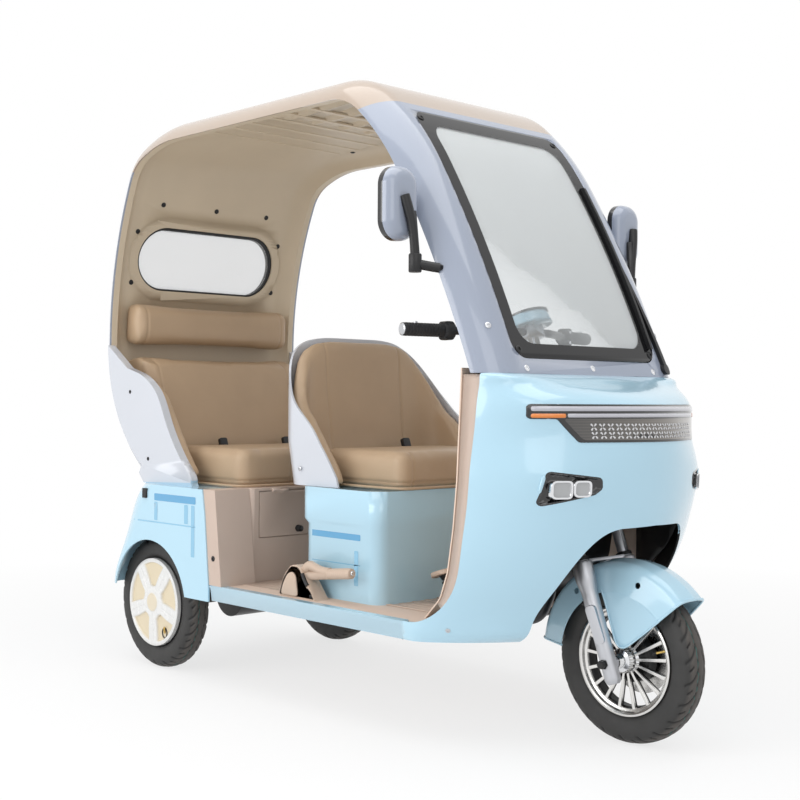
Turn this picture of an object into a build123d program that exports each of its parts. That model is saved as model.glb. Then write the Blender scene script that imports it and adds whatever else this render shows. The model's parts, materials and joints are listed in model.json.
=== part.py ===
"""Electric passenger tricycle: a roofed cab with a driver's seat in front and a bench behind.

Millimetres. +X forward, +Y to the vehicle's left, +Z up. The origin is on the ground, midway
between the rearmost and the foremost point of the vehicle.
"""
import os
from math import atan2, cos, degrees, radians, sin, tan

from build123d import *

# ---------------------------------------------------------------- driving dimensions
wheelbase = 1568
rear_overhang = 355  # rear axle to the back of the canopy
tyre_radius = 210  # 3.00-10 tyre
tyre_width = 76
rim_radius = 139
rear_track = 718

canopy_half_width = 400  # where the rolled edges would end
canopy_corner = 100  # roll radius of the canopy's long edges
canopy_depth = 66  # how far the rolled edges turn in
skin = 6  # outer plastic skins
wall = 26  # whole canopy wall, skin and liner
cowl_wall = 7

floor_top = 305
floor_thickness = 14
floor_half_width = 408
sill_half_width = 434.6
sill_foot = 428
sill_bottom = 258
waist_height = 1036  # where the back stands furthest out
seam_height = waist_height - 108  # joint between cowl and windscreen frame

rake = 20  # steering axis, degrees from vertical
axle_lead = 30  # front axle ahead of the steering axis
fork_half_width = 90  # fork leg centre from the centre plane

running_gap = 0.3
door_gap = 3

rear_axle_x = rear_overhang - (rear_overhang + wheelbase + tyre_radius) / 2
front_axle_x = rear_axle_x + wheelbase

# Views that the outlines are drawn in: side outlines are (distance ahead of the rear axle, height).
side = Plane(origin=(rear_axle_x, 0, 0), x_dir=(1, 0, 0), z_dir=(0, -1, 0))
front_view = Plane(origin=(rear_axle_x, 0, 0), x_dir=(0, 1, 0), z_dir=(1, 0, 0))


def level(height):
    """Horizontal sketch plane whose x is the distance ahead of the rear axle."""
    return Plane(origin=(rear_axle_x, 0, height), x_dir=(1, 0, 0), z_dir=(0, 0, 1))


# ---------------------------------------------------------------- canopy hoop
tail_radius = 537
tail_turn = 56.5
back_radius = 1333
back_turn = 25
roof_back_radius = 200
roof_back_turn = 41
roof_ease_radius = 518
roof_length = 760  # flat stretch of the roof
brow_radius = 242
brow_turn = 40
screen_top_radius = 836
screen_top_turn = 18
screen_radius = 3270
screen_turn = 11
window_height = 200
window_half_length = 280
window_centre_height = waist_height + 304
pane = 4
screen_half_width = 293
screen_low = waist_height - 70
screen_high = waist_height + 598
screen_corner = 46
screen_band = 36  # black edge of the glass
screen_glass = 5
screen_bed = 3  # black bonding bead between glass and frame
glass_gap = 0.5
window_seal = 7
window_recess = 10
back_seam_height = waist_height + 564
brow_seam_x = 1052
brow_seam_height = waist_height + 629
brow_seam_angle = 19
body_half_width = 440
body_top = waist_height - tail_radius * sin(radians(tail_turn)) - running_gap
base_half_width = 310
base_back = 60
wing_half_width = 400
wing_wall = 26
arch_half_width = 235

with BuildLine(side) as canopy_line:
    tail_arc = JernArc(
        start=(-rear_overhang, waist_height), tangent=(0, -1), radius=tail_radius, arc_size=tail_turn
    )
    back_arc = JernArc(
        start=(-rear_overhang, waist_height), tangent=(0, 1), radius=back_radius, arc_size=-back_turn
    )
    roof_back_arc = JernArc(
        start=back_arc @ 1, tangent=back_arc % 1, radius=roof_back_radius, arc_size=-roof_back_turn
    )
    roof_ease_arc = JernArc(
        start=roof_back_arc @ 1,
        tangent=roof_back_arc % 1,
        radius=roof_ease_radius,
        arc_size=-(90 - back_turn - roof_back_turn),
    )
    roof_line = Line(roof_ease_arc @ 1, roof_ease_arc @ 1 + (roof_length, 0))
    brow_arc = JernArc(start=roof_line @ 1, tangent=(1, 0), radius=brow_radius, arc_size=-brow_turn)
    screen_top_arc = JernArc(
        start=brow_arc @ 1, tangent=brow_arc % 1, radius=screen_top_radius, arc_size=-screen_top_turn
    )
    screen_arc = JernArc(
        start=screen_top_arc @ 1, tangent=screen_top_arc % 1, radius=screen_radius, arc_size=-screen_turn
    )
canopy_path = canopy_line.line


def canopy_layer(outside, inside, depth):
    """The canopy's hoop between two insets from its outer skin, its edges turned in by depth."""
    foot = Plane(origin=screen_arc @ 1, x_dir=(0, 1, 0), z_dir=screen_arc % 1)
    inward = -1 if foot.y_dir.X > 0 else 1
    with BuildPart() as layer:
        with BuildSketch(foot):
            for inset, mode in ((outside, Mode.ADD), (inside, Mode.SUBTRACT)):
                half = canopy_half_width - inset
                deep = inward * (canopy_corner + 1)
                with BuildLine():
                    hoop = FilletPolyline(
                        (-half, deep),
                        (-half, inward * inset),
                        (half, inward * inset),
                        (half, deep),
                        radius=canopy_corner - inset,
                    )
                    Line(hoop @ 1, hoop @ 0)
                make_face(mode=mode)
            with Locations((0, inward * depth)):
                Rectangle(
                    3 * canopy_half_width,
                    2 * canopy_corner,
                    align=(Align.CENTER, Align.MIN if inward > 0 else Align.MAX),
                    mode=Mode.SUBTRACT,
                )
        sweep(path=canopy_path)
    return layer.part


def across(outline, half=600):
    """A block with the given side outline, symmetric about the centre plane."""
    with BuildPart() as block:
        with BuildSketch(side.offset(-half)):
            add(outline)
        extrude(amount=2 * half)
    return block.part


def side_polygon(*points):
    with BuildSketch() as polygon:
        with BuildLine():
            Polyline(*points, close=True)
        make_face()
    return polygon.sketch


def brow_seam(x):
    return brow_seam_height + (x - brow_seam_x) * tan(radians(brow_seam_angle))


far_back = -rear_overhang - 200
far_front = wheelbase + tyre_radius + 200
mid_x = 700  # a station inside the doorway, clear of every panel
sky = 2200
roof_region = across(
    side_polygon(
        (far_back, back_seam_height),
        (mid_x, back_seam_height),
        (mid_x, brow_seam(mid_x)),
        (far_front, brow_seam(far_front)),
        (far_front, sky),
        (far_back, sky),
    )
)
back_region = across(
    side_polygon((far_back, 0), (mid_x, 0), (mid_x, back_seam_height), (far_back, back_seam_height))
)
front_region = across(
    side_polygon(
        (mid_x, seam_height),
        (far_front, seam_height),
        (far_front, brow_seam(far_front)),
        (mid_x, brow_seam(mid_x)),
    )
)


def through(outline, start_x, length):
    """A block with the given front outline, running forward from a distance ahead of the rear axle."""
    with BuildPart() as block:
        with BuildSketch(front_view.offset(start_x)):
            add(outline)
        extrude(amount=length)
    return block.part


def window_outline(grow):
    with BuildSketch() as outline:
        with Locations((0, window_centre_height)):
            SlotOverall(2 * (window_half_length + grow), window_height + 2 * grow)
    return outline.sketch


def screen_outline(grow):
    with BuildSketch() as outline:
        with Locations((0, (screen_low + screen_high) / 2)):
            RectangleRounded(
                2 * (screen_half_width + grow), screen_high - screen_low + 2 * grow, screen_corner + grow
            )
    return outline.sketch


window_start = far_back
window_run = 500
screen_start = 900
screen_run = 800

with BuildPart() as roof_panel:
    add(canopy_layer(0, skin, canopy_depth))
    add(roof_region, mode=Mode.INTERSECT)

with BuildPart() as rear_canopy_shell:
    add(canopy_layer(0, skin, canopy_depth))
    add(back_region, mode=Mode.INTERSECT)
    add(through(window_outline(window_seal), window_start, window_run), mode=Mode.SUBTRACT)

# The lining stands proud round the rear window and in ribs along the front half of the ceiling.
liner_rise = 5
surround_out = 40
ceiling_rib_start = 430
ceiling_rib_length = 420
with BuildPart() as ceiling_ribs:
    with BuildSketch(level(sky - 1000)):
        with Locations((ceiling_rib_start + ceiling_rib_length / 2, 0)):
            with GridLocations(0, 110, 1, 5):
                RectangleRounded(ceiling_rib_length, 34, 16)
    extrude(amount=1000)

with BuildPart() as canopy_liner:
    add(canopy_layer(skin, wall, canopy_depth))
    raised = canopy_layer(wall - 1, wall + liner_rise, canopy_depth)
    add(raised & through(window_outline(surround_out), window_start, window_run))
    add(raised & ceiling_ribs.part)
    add(roof_region + back_region, mode=Mode.INTERSECT)
    add(through(window_outline(window_seal), window_start, window_run), mode=Mode.SUBTRACT)

with BuildPart() as rear_window:
    add(canopy_layer(window_recess, window_recess + pane, canopy_depth))
    add(through(window_outline(0), window_start, window_run), mode=Mode.INTERSECT)

with BuildPart() as rear_window_seal:
    add(canopy_layer(0, wall, canopy_depth))
    add(through(window_outline(window_seal), window_start, window_run), mode=Mode.INTERSECT)
    add(through(window_outline(0), window_start, window_run), mode=Mode.SUBTRACT)

with BuildPart() as windscreen_frame:
    add(canopy_layer(0, wall, canopy_depth))
    add(front_region, mode=Mode.INTERSECT)
    rebate = canopy_layer(-1, screen_glass + screen_bed, canopy_depth)
    add(rebate & through(screen_outline(glass_gap), screen_start, screen_run), mode=Mode.SUBTRACT)
    add(through(screen_outline(-screen_band), screen_start, screen_run), mode=Mode.SUBTRACT)

with BuildPart() as windscreen_glass:
    add(canopy_layer(0, screen_glass, canopy_depth))
    add(through(screen_outline(0), screen_start, screen_run), mode=Mode.INTERSECT)

with BuildPart() as windscreen_band:
    add(canopy_layer(screen_glass, screen_glass + screen_bed, canopy_depth))
    add(through(screen_outline(0), screen_start, screen_run), mode=Mode.INTERSECT)
    add(through(screen_outline(-screen_band), screen_start, screen_run), mode=Mode.SUBTRACT)

# The seat-side wings of the rear shell: a flat side panel each side, seated on the hoop's edge.
wing_top = [
    (200, body_top + 12),
    (176, body_top + 52),
    (118, body_top + 112),
    (54, body_top + 205),
    (-4, body_top + 297),
    (-62, waist_height - 111),
    (-170, waist_height - 78),
]
tail_end = side.to_local_coords(tail_arc @ 1)
with BuildSketch() as wing_outline:
    with BuildLine():
        lower = JernArc(
            start=(-rear_overhang + canopy_depth, waist_height),
            tangent=(0, -1),
            radius=tail_radius - canopy_depth,
            arc_size=tail_turn,
        )
        Polyline(lower @ 1, (tail_end.X, body_top), (wing_top[0][0] + 6, body_top), wing_top[0])
        Spline(*wing_top, tangents=[(0.3, 1), (-1, 0.25)])
        Line(wing_top[-1], lower @ 0)
    make_face()

with BuildPart() as seat_wings:
    with BuildSketch(side.offset(wing_half_width - wing_wall)):
        add(wing_outline.sketch)
    extrude(amount=wing_wall)
    mirror(about=Plane.XZ)

# ---------------------------------------------------------------- front cowl
# Plan sections of the cowl: share of the rise from sill to seam, half width, then side, shoulder and front points
# (ahead, out), and how far ahead the nose is.
cowl_sections = [
    (1, 396, [(1360, 394), (1421, 366), (1446, 240)], 1449),
    (0.9657, 399, [(1368, 396), (1448, 360), (1500, 222)], 1515),
    (0.9284, 403, [(1377, 399), (1476, 349), (1552, 200)], 1575),
    (0.8836, 408, [(1385, 402), (1506, 337), (1590, 180)], 1622),
    (0.8179, 415, [(1388, 408), (1520, 322), (1610, 165)], 1646),
    (0.7493, 422, [(1391, 415), (1532, 312), (1622, 160)], 1657),
    (0.6448, 430, [(1395, 424), (1544, 322), (1630, 162)], 1660),
    (0.5104, 432, [(1390, 428), (1530, 325), (1620, 165)], 1652),
    (0.3612, 434, [(1368, 432), (1497, 330), (1590, 165)], 1625),
    (0.2119, 436, [(1310, 434), (1425, 345), (1533, 178)], 1572),
    (0.0776, 435, [(1250, 434), (1347, 365), (1465, 188)], 1508),
    (0, sill_foot, [(1220, 427), (1302, 368), (1422, 195)], 1470),
]
cowl_rear_x = 1180
door_edge = [
    (1400, seam_height),
    (1402, 743),
    (1399, 625),
    (1386, 529),
    (1360, 431),
    (1322, 367),
    (1262, 318),
    (1190, floor_top),
]


def cowl_half(inset):
    """The left half of the nose as one block, its skin moved in by inset."""
    with BuildPart() as block:
        for share, half, shape, nose_x in cowl_sections:
            points = [(x - 0.6 * inset, y - 0.8 * inset) for x, y in reversed(shape)]
            with BuildSketch(level(sill_bottom + share * (seam_height - sill_bottom))):
                with BuildLine():
                    curve = Spline(
                        (nose_x - inset, 0), *points, (cowl_rear_x, half - inset), tangents=[(0, 1), (-1, 0)]
                    )
                    Polyline(curve @ 1, (cowl_rear_x, 0), curve @ 0)
                make_face()
        loft()
    return block.part


with BuildSketch() as arch_outline:
    with BuildLine():
        arch_curve = Spline(
            (-arch_half_width, sill_bottom - 60),
            (-arch_half_width + 3, 346),
            (-212, 459),
            (-172, 524),
            (-112, 550),
            tangents=[(0, 1), (1, 0.1)],
        )
        Line(arch_curve @ 1, (0, 553))
        Line((0, 553), (0, sill_bottom - 60))
        Line((0, sill_bottom - 60), arch_curve @ 0)
    make_face()
    mirror(about=Plane.YZ)

with BuildSketch() as doorway_outline:
    with BuildLine():
        edge = Spline(*door_edge, tangents=[(0, -1), (-1, 0)])
        Polyline(edge @ 1, (cowl_rear_x - 60, floor_top), (cowl_rear_x - 60, seam_height + 60))
        Polyline((cowl_rear_x - 60, seam_height + 60), (door_edge[0][0], seam_height + 60), edge @ 0)
    make_face()

sill_back = 355
with BuildPart() as front_cowl:
    add(cowl_half(0))
    add(cowl_half(cowl_wall), mode=Mode.SUBTRACT)
    add(across(doorway_outline.sketch), mode=Mode.SUBTRACT)
    with BuildSketch(front_view.offset(sill_back)):
        with BuildLine():
            Polyline(
                (sill_foot, sill_bottom),
                (sill_half_width, floor_top),
                (floor_half_width + running_gap, floor_top),
                (floor_half_width + running_gap, floor_top - cowl_wall),
                (sill_half_width - cowl_wall - 2, floor_top - cowl_wall),
                (sill_foot - cowl_wall, sill_bottom + cowl_wall),
                (floor_half_width, sill_bottom + cowl_wall),
                (floor_half_width, sill_bottom),
                close=True,
            )
        make_face()
    extrude(amount=cowl_rear_x - sill_back)
    add(through(arch_outline.sketch, cowl_rear_x - 100, 900), mode=Mode.SUBTRACT)
    mirror(about=Plane.XZ)


# ---------------------------------------------------------------- frame and floor
rail_radius = 19
rail_y = 235
rail_z = 272
rail_front = 1225
rail_back = -195
cross_rails = [-180, 330, 760, 1180]
down_tube = [(1262, rail_z), (1298, 345), (1320, 560), (1364, 660)]
axle_z = tyre_radius


def steer_point(up, ahead=0, out=0):
    """A point by its distance up the steering axis from the axle's level and ahead of that axis."""
    return Vector(
        front_axle_x - axle_lead / cos(radians(rake)) - up * sin(radians(rake)) + ahead * cos(radians(rake)),
        out,
        axle_z + up * cos(radians(rake)) + ahead * sin(radians(rake)),
    )


steer_dir = Vector(-sin(radians(rake)), 0, cos(radians(rake)))


def steer_plane(up, ahead=0, out=0):
    """Sketch plane square to the steering axis; its x runs forward and its y to the left."""
    return Plane(
        origin=steer_point(up, ahead, out), x_dir=(cos(radians(rake)), 0, sin(radians(rake))), z_dir=steer_dir
    )


head_low = 415
head_high = 545
head_radius = 26
stem_radius = 15
bearing_clearance = 0.05

with BuildPart() as chassis_frame:
    for y in (-rail_y, rail_y):
        with BuildSketch(Plane(origin=(rear_axle_x + rail_back, y, rail_z), z_dir=(1, 0, 0))):
            Circle(rail_radius)
        extrude(amount=rail_front - rail_back)
    for x in cross_rails:
        with BuildSketch(Plane(origin=(rear_axle_x + x, -rail_y, rail_z), z_dir=(0, 1, 0))):
            Circle(rail_radius - 3)
        extrude(amount=2 * rail_y)
    with BuildLine(side) as backbone:
        FilletPolyline((cross_rails[-1], rail_z), *down_tube, radius=60)
    with BuildSketch(Plane(origin=backbone.line @ 0, z_dir=backbone.line % 0)):
        Circle(rail_radius)
    sweep(path=backbone.line)
    with BuildSketch(steer_plane(head_low)):
        Circle(head_radius)
    extrude(amount=head_high - head_low)
    with BuildSketch(steer_plane(head_low)):
        Circle(stem_radius + bearing_clearance)
    extrude(amount=head_high - head_low, mode=Mode.SUBTRACT)

floor_front = 1236
floor_back = 330
# Raised mat in the footwell between the bench and the driver's seat box.
mat_back = 420
mat_front = 630
mat_margin = 40
mat_rise = 3
# Ribs of the floor under the driver's feet.
rib_back = 1000
rib_front = 1168
rib_pitch = 26
rib_count = 23
rib_width = 8
with BuildPart() as floor_board:
    with BuildSketch(level(floor_top - floor_thickness)):
        with Locations(((floor_front + floor_back) / 2, 0)):
            RectangleRounded(floor_front - floor_back, 2 * floor_half_width, 20)
    extrude(amount=floor_thickness)
    with BuildSketch(level(floor_top)):
        with Locations(((mat_front + mat_back) / 2, 0)):
            RectangleRounded(mat_front - mat_back, 2 * (floor_half_width - mat_margin), 12)
    extrude(amount=mat_rise)
    with BuildSketch(level(floor_top)):
        with Locations(((rib_front + rib_back) / 2, 0)):
            with GridLocations(0, rib_pitch, 1, rib_count):
                Rectangle(rib_front - rib_back, rib_width)
    extrude(amount=mat_rise)

shield_wall = 4
shield_half_width = 380
shield_line = [(1186, floor_top), (1240, 360), (1266, 430), (1284, 540), (1296, 660), (1310, seam_height + 14)]
column_slot = (775, 900)  # between these heights the steering column passes through the shield
with BuildPart() as leg_shield:
    with BuildSketch(side.offset(-shield_half_width)):
        with BuildLine():
            face_line = FilletPolyline(*shield_line, radius=60)
            offset(face_line, amount=shield_wall, side=Side.RIGHT, closed=True)
        make_face()
    extrude(amount=2 * shield_half_width)
    with BuildSketch(front_view.offset(cowl_rear_x)):
        with Locations((0, sum(column_slot) / 2)):
            Rectangle(2 * head_radius, column_slot[1] - column_slot[0])
    extrude(amount=screen_run, mode=Mode.SUBTRACT)
    add(floor_board.part, mode=Mode.SUBTRACT)

dash_height = shield_line[-1][1]
dash_wall = 5
dash_rise = 48
dash_half_width = 120
dash_reach = 310
dash_front = 1404
with BuildPart() as dash_top:
    with BuildSketch(level(dash_height)):
        with Locations(((shield_line[-1][0] + dash_front) / 2, 0)):
            RectangleRounded(dash_front - shield_line[-1][0], 2 * dash_reach, 12)
    extrude(amount=dash_wall)
    with BuildSketch(level(dash_height)):
        with Locations(((shield_line[-1][0] + dash_front) / 2 - 18, 0)):
            RectangleRounded(50, 2 * dash_half_width, 20)
    extrude(amount=dash_rise, taper=8)

# ---------------------------------------------------------------- lamps
lamp_depth = 14
lamp_proud = 2
lamp_fit = 0.5
lamp_top = seam_height - 75
lamp_tab_bottom = seam_height - 110
lamp_bottom = seam_height - 166
lamp_tab_half = 337
lamp_lens_half = 236
fog_corners = [
    (332, seam_height - 322),
    (314, seam_height - 234),
    (188, seam_height - 251),
    (186, seam_height - 278),
    (204, seam_height - 292),
]
fog_radius = 12


def cowl_layer(outside, inside):
    """The whole nose skin between two insets."""
    with BuildPart() as layer:
        add(cowl_half(outside))
        add(cowl_half(inside), mode=Mode.SUBTRACT)
        mirror(about=Plane.XZ)
    return layer.part


with BuildSketch() as lamp_outline:
    with BuildLine():
        FilletPolyline(
            (0, lamp_top),
            (lamp_tab_half, lamp_top),
            (lamp_tab_half, lamp_tab_bottom),
            (lamp_lens_half + 44, lamp_tab_bottom),
            (lamp_lens_half, lamp_bottom),
            (0, lamp_bottom),
            radius=9,
        )
        Line((0, lamp_bottom), (0, lamp_top))
    make_face()
    mirror(about=Plane.YZ)

with BuildSketch() as fog_outline:
    with BuildLine():
        Polyline(*fog_corners, close=True)
    make_face()
    fillet(fog_outline.vertices(), fog_radius)
    mirror(about=Plane.YZ)

lamp_start = cowl_rear_x
lamp_run = 700
lamp_block = through(lamp_outline.sketch, lamp_start, lamp_run)
fog_block = through(fog_outline.sketch, lamp_start, lamp_run)

with BuildPart() as headlamp_bar:
    add(cowl_layer(-lamp_proud, lamp_depth))
    add(lamp_block, mode=Mode.INTERSECT)

fog_lens_depth = 4
fog_lens = 38
with BuildSketch() as fog_lenses:
    with Locations((285, fog_corners[0][1] + 42), (235, fog_corners[0][1] + 48)):
        RectangleRounded(fog_lens, fog_lens, 9)
    mirror(about=Plane.YZ)

fog_recess = 12
fog_rim = 5
with BuildPart() as fog_lamps:
    add(cowl_layer(0, fog_recess + lamp_depth))
    fog_shell = offset(fog_outline.sketch, amount=-running_gap, mode=Mode.PRIVATE)
    add(through(fog_shell, lamp_start, lamp_run), mode=Mode.INTERSECT)
    fog_mouth = offset(fog_outline.sketch, amount=-fog_rim, mode=Mode.PRIVATE)
    add(cowl_layer(-1, fog_recess) & through(fog_mouth, lamp_start, lamp_run), mode=Mode.SUBTRACT)
    add(cowl_layer(fog_lens_depth, fog_recess + 1) & through(fog_lenses.sketch, lamp_start, lamp_run))

with BuildPart() as cowl_with_lamps:
    add(front_cowl.part)
    add(through(offset(lamp_outline.sketch, amount=lamp_fit, mode=Mode.PRIVATE), lamp_start, lamp_run), mode=Mode.SUBTRACT)
    add(fog_block, mode=Mode.SUBTRACT)
front_cowl = cowl_with_lamps

# ---------------------------------------------------------------- rear body
body_wall = 6
arch_x = 30
arch_radius = 203
body_front = [(318, body_top), (330, body_top - 68), (352, floor_top - 5)]
body_foot = 255
# Plan sections of the rear body: share of its height, how far ahead its back is, corner radius.
body_sections = [(1, -121, 185), (0.8408, -155, 157), (0.5405, -190, 138), (0.2342, -212, 90), (0, -222, 68)]
body_run = 700


def body_block(inset, drop):
    """Rear body as one block, its skin moved in by inset and its foot lowered by drop."""
    with BuildPart() as block:
        for share, back, corner in body_sections:
            lowered = drop if share == 0 else 0
            with BuildSketch(level(body_foot + share * (body_top - inset - body_foot) - lowered)):
                with Locations((back + inset + body_run / 2, 0)):
                    RectangleRounded(body_run, 2 * (body_half_width - inset), corner - inset)
        loft()
    return block.part


with BuildPart() as rear_body:
    add(body_block(0, 0))
    add(body_block(body_wall, 60), mode=Mode.SUBTRACT)
    front_cut = side_polygon(*body_front, (far_front, body_front[-1][1]), (far_front, body_front[0][1]))
    add(across(front_cut), mode=Mode.SUBTRACT)
    with BuildSketch(level(body_foot - 60)):
        with Locations((body_front[-1][0], 0)):
            Rectangle(body_run, 2 * body_half_width + 2, align=(Align.MIN, Align.CENTER))
    extrude(amount=body_front[-1][1] - body_foot + 61, mode=Mode.SUBTRACT)
    with BuildSketch(side.offset(-body_half_width - 5)):
        with Locations((arch_x, tyre_radius)):
            Circle(arch_radius)
    extrude(amount=2 * body_half_width + 10, mode=Mode.SUBTRACT)
    with BuildSketch(level(floor_top)):
        with Locations((base_back - running_gap, 0)):
            Rectangle(body_run, 2 * (base_half_width + running_gap), align=(Align.MIN, Align.CENTER))
    extrude(amount=body_run, mode=Mode.SUBTRACT)

tail_lamp_size = (24, 12, 30)
with BuildPart() as tail_lamps:
    for y in (-body_half_width, body_half_width):
        with BuildSketch(level(body_top - 43)):
            with Locations((8, y)):
                RectangleRounded(tail_lamp_size[0], tail_lamp_size[1], 4)
        extrude(amount=tail_lamp_size[2])
    add(body_block(0, 0), mode=Mode.SUBTRACT)

# ---------------------------------------------------------------- rear seat
base_front = 388
base_wall = 8
flap_top = body_top - 8
flap_low = flap_top - 144
flap_half_width = 280
flap_wall = 8
hinge_radius = 4
hinge_length = 30
hinge_y = 200
hinge_leaf = 8


def knuckle(y, rise):
    """A hinge barrel on the flap's top edge, its leaf reaching up or down by rise."""
    with BuildPart() as barrel:
        with BuildSketch(side.offset(-y)):
            with Locations((base_front + hinge_radius + running_gap, flap_top)):
                Circle(hinge_radius)
            with Locations((base_front + hinge_radius / 2, flap_top + rise / 2)):
                Rectangle(hinge_radius, abs(rise))
        extrude(amount=hinge_length)
    return barrel.part


with BuildPart() as rear_seat_base:
    with BuildSketch(level(floor_top)):
        with Locations(((base_front + base_back) / 2, 0)):
            RectangleRounded(base_front - base_back, 2 * base_half_width, 16)
    extrude(amount=body_top - floor_top)
    with BuildSketch(level(floor_top - 1)):
        with Locations(((base_front + base_back) / 2, 0)):
            RectangleRounded(base_front - base_back - 2 * base_wall, 2 * (base_half_width - base_wall), 8)
    extrude(amount=body_top - base_wall - floor_top + 1, mode=Mode.SUBTRACT)
    with BuildSketch(front_view.offset(base_front - base_wall - 8)):
        with Locations((0, (flap_low + flap_top) / 2)):
            Rectangle(2 * flap_half_width, flap_top - flap_low)
    extrude(amount=base_wall + 20, mode=Mode.SUBTRACT)
    add(knuckle(hinge_y + hinge_length, hinge_leaf))
    add(knuckle(-hinge_y, hinge_leaf))

knob_radius = 11
knob_length = 16
knob_y = 127
with BuildPart() as storage_flap:
    with BuildSketch(front_view.offset(base_front - flap_wall)):
        with Locations((0, (flap_low + flap_top) / 2)):
            Rectangle(2 * (flap_half_width - door_gap), flap_top - flap_low - 2 * door_gap)
    extrude(amount=flap_wall)
    add(knuckle(hinge_y - running_gap, -hinge_leaf))
    add(knuckle(hinge_length + running_gap - hinge_y, -hinge_leaf))

with BuildPart() as flap_knobs:
    with BuildSketch(front_view.offset(base_front)):
        with Locations((-knob_y, flap_low + 22), (knob_y, flap_low + 22)):
            Circle(knob_radius)
    extrude(amount=knob_length, taper=6)

pillar_width = 60
pillar_inset = 4
with BuildPart() as rear_pillars:
    with BuildSketch(side.offset(-body_half_width + pillar_inset)):
        with BuildLine():
            Polyline(
                *[(x + running_gap, max(z, floor_top)) for x, z in body_front],
                (body_front[-1][0] + pillar_width, floor_top),
                (body_front[0][0] + pillar_width, body_top),
                close=True,
            )
        make_face()
    extrude(amount=body_half_width - pillar_inset - base_half_width - running_gap)
    mirror(about=Plane.XZ)

seat_bottom = body_top + running_gap
seat_top = seat_bottom + 116
rear_cushion_back = -60
rear_cushion_front = 362
rear_pad_half = 332
with BuildPart() as rear_cushion:
    with BuildSketch(level(seat_bottom)):
        with Locations(((rear_cushion_back + rear_cushion_front) / 2, 0)):
            RectangleRounded(rear_cushion_front - rear_cushion_back, 2 * rear_pad_half, 40)
    extrude(amount=seat_top - seat_bottom)
    fillet(rear_cushion.faces().sort_by(Axis.Z)[-1].edges(), 22)

rear_pad_edge = 24
with BuildPart() as rear_backrest:
    with BuildSketch(side.offset(-rear_pad_half)):
        with BuildLine():
            Polyline(
                (-66, seat_bottom),
                (-95, seat_bottom + 124),
                (-205, waist_height - 36),
                (-240, waist_height - 26),
                (-335, waist_height - 36),
                (-320, waist_height - 136),
                (-275, waist_height - 246),
                (-205, waist_height - 346),
                (-112, seat_bottom + 24),
                (-96, seat_bottom),
                close=True,
            )
        make_face()
    extrude(amount=2 * rear_pad_half)
    fillet(rear_backrest.edges().filter_by(Axis.Y).sort_by(Axis.Z)[-1], rear_pad_edge)
    add(canopy_liner.part, mode=Mode.SUBTRACT)

headrest_half = 322
headrest_at = (-280, waist_height + 74)
headrest_size = (108, 146)
with BuildPart() as rear_headrest:
    with BuildSketch(side.offset(-headrest_half)):
        with Locations((headrest_at[0], headrest_at[1])):
            RectangleRounded(headrest_size[0], headrest_size[1], headrest_size[0] / 3)
    extrude(amount=2 * headrest_half)
    add(canopy_liner.part, mode=Mode.SUBTRACT)

# ---------------------------------------------------------------- driver's seat
box_back = 648
box_front = 985
box_half_width = 335
box_top = 612
box_wall = 6
box_corner = 42
box_step = 16  # how much narrower the lower part is
box_crease = 508
box_bevel = 14
with BuildPart() as driver_seat_box:
    for height, step in ((floor_top, box_step), (box_crease, box_step), (box_crease + box_bevel, 0), (box_top, 0)):
        with BuildSketch(level(height)):
            with Locations(((box_front + box_back) / 2, 0)):
                RectangleRounded(box_front - box_back - step, 2 * box_half_width - step, box_corner)
    loft(ruled=True)
    with BuildSketch(level(floor_top - 1)):
        with Locations(((box_front + box_back) / 2, 0)):
            RectangleRounded(
                box_front - box_back - box_step - 2 * box_wall, 2 * box_half_width - box_step - 2 * box_wall, box_corner
            )
    extrude(amount=box_top - box_wall - floor_top + 1, mode=Mode.SUBTRACT)

battery_size = (250, 520, 210)
with BuildPart() as battery_pack:
    with BuildSketch(level(floor_top)):
        with Locations(((box_front + box_back) / 2, 0)):
            Rectangle(battery_size[0], battery_size[1])
    extrude(amount=battery_size[2])

# Plan sections of the bucket: height, how far ahead its back is, half width, corner radius.
bucket_front = 850
bucket_top = 1048
bucket_crown = 120  # corner radius of the bucket's top edge, seen from the front
bucket_sections = [
    (box_top + running_gap, 556, 318, 80),
    (740, 520, 326, 110),
    (880, 510, 300, 130),
    (975, 517, 268, 135),
    (bucket_top, 534, 236, 130),
]
bucket_wall = 7
bucket_pad = 48
bucket_edge = [(800, 612), (744, 715), (690, 775), (612, 832), (576, 900), (566, bucket_top)]


def bucket_block(inset):
    with BuildPart() as block:
        for height, back, half, corner in bucket_sections:
            with BuildSketch(level(height)):
                with Locations(((back + inset + bucket_front) / 2, 0)):
                    RectangleRounded(bucket_front - back - inset, 2 * (half - inset), corner - inset)
        loft()
    return block.part


with BuildSketch() as bucket_outline:
    with BuildLine():
        edge = Spline(*bucket_edge)
        Polyline(edge @ 1, (400, bucket_edge[-1][1]), (400, bucket_edge[0][1]), edge @ 0)
    make_face()
with BuildSketch() as bucket_face:
    with Locations((0, bucket_top / 2)):
        RectangleRounded(2 * bucket_sections[1][2], bucket_top, bucket_crown)
bucket_region = across(bucket_outline.sketch) & through(bucket_face.sketch, 400, 500)

with BuildPart() as driver_seat_shell:
    add(bucket_block(0))
    add(bucket_block(bucket_wall), mode=Mode.SUBTRACT)
    add(bucket_region, mode=Mode.INTERSECT)

with BuildPart() as driver_seat_pad:
    add(bucket_block(bucket_wall + running_gap))
    add(bucket_block(bucket_pad), mode=Mode.SUBTRACT)
    add(bucket_region, mode=Mode.INTERSECT)

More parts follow.
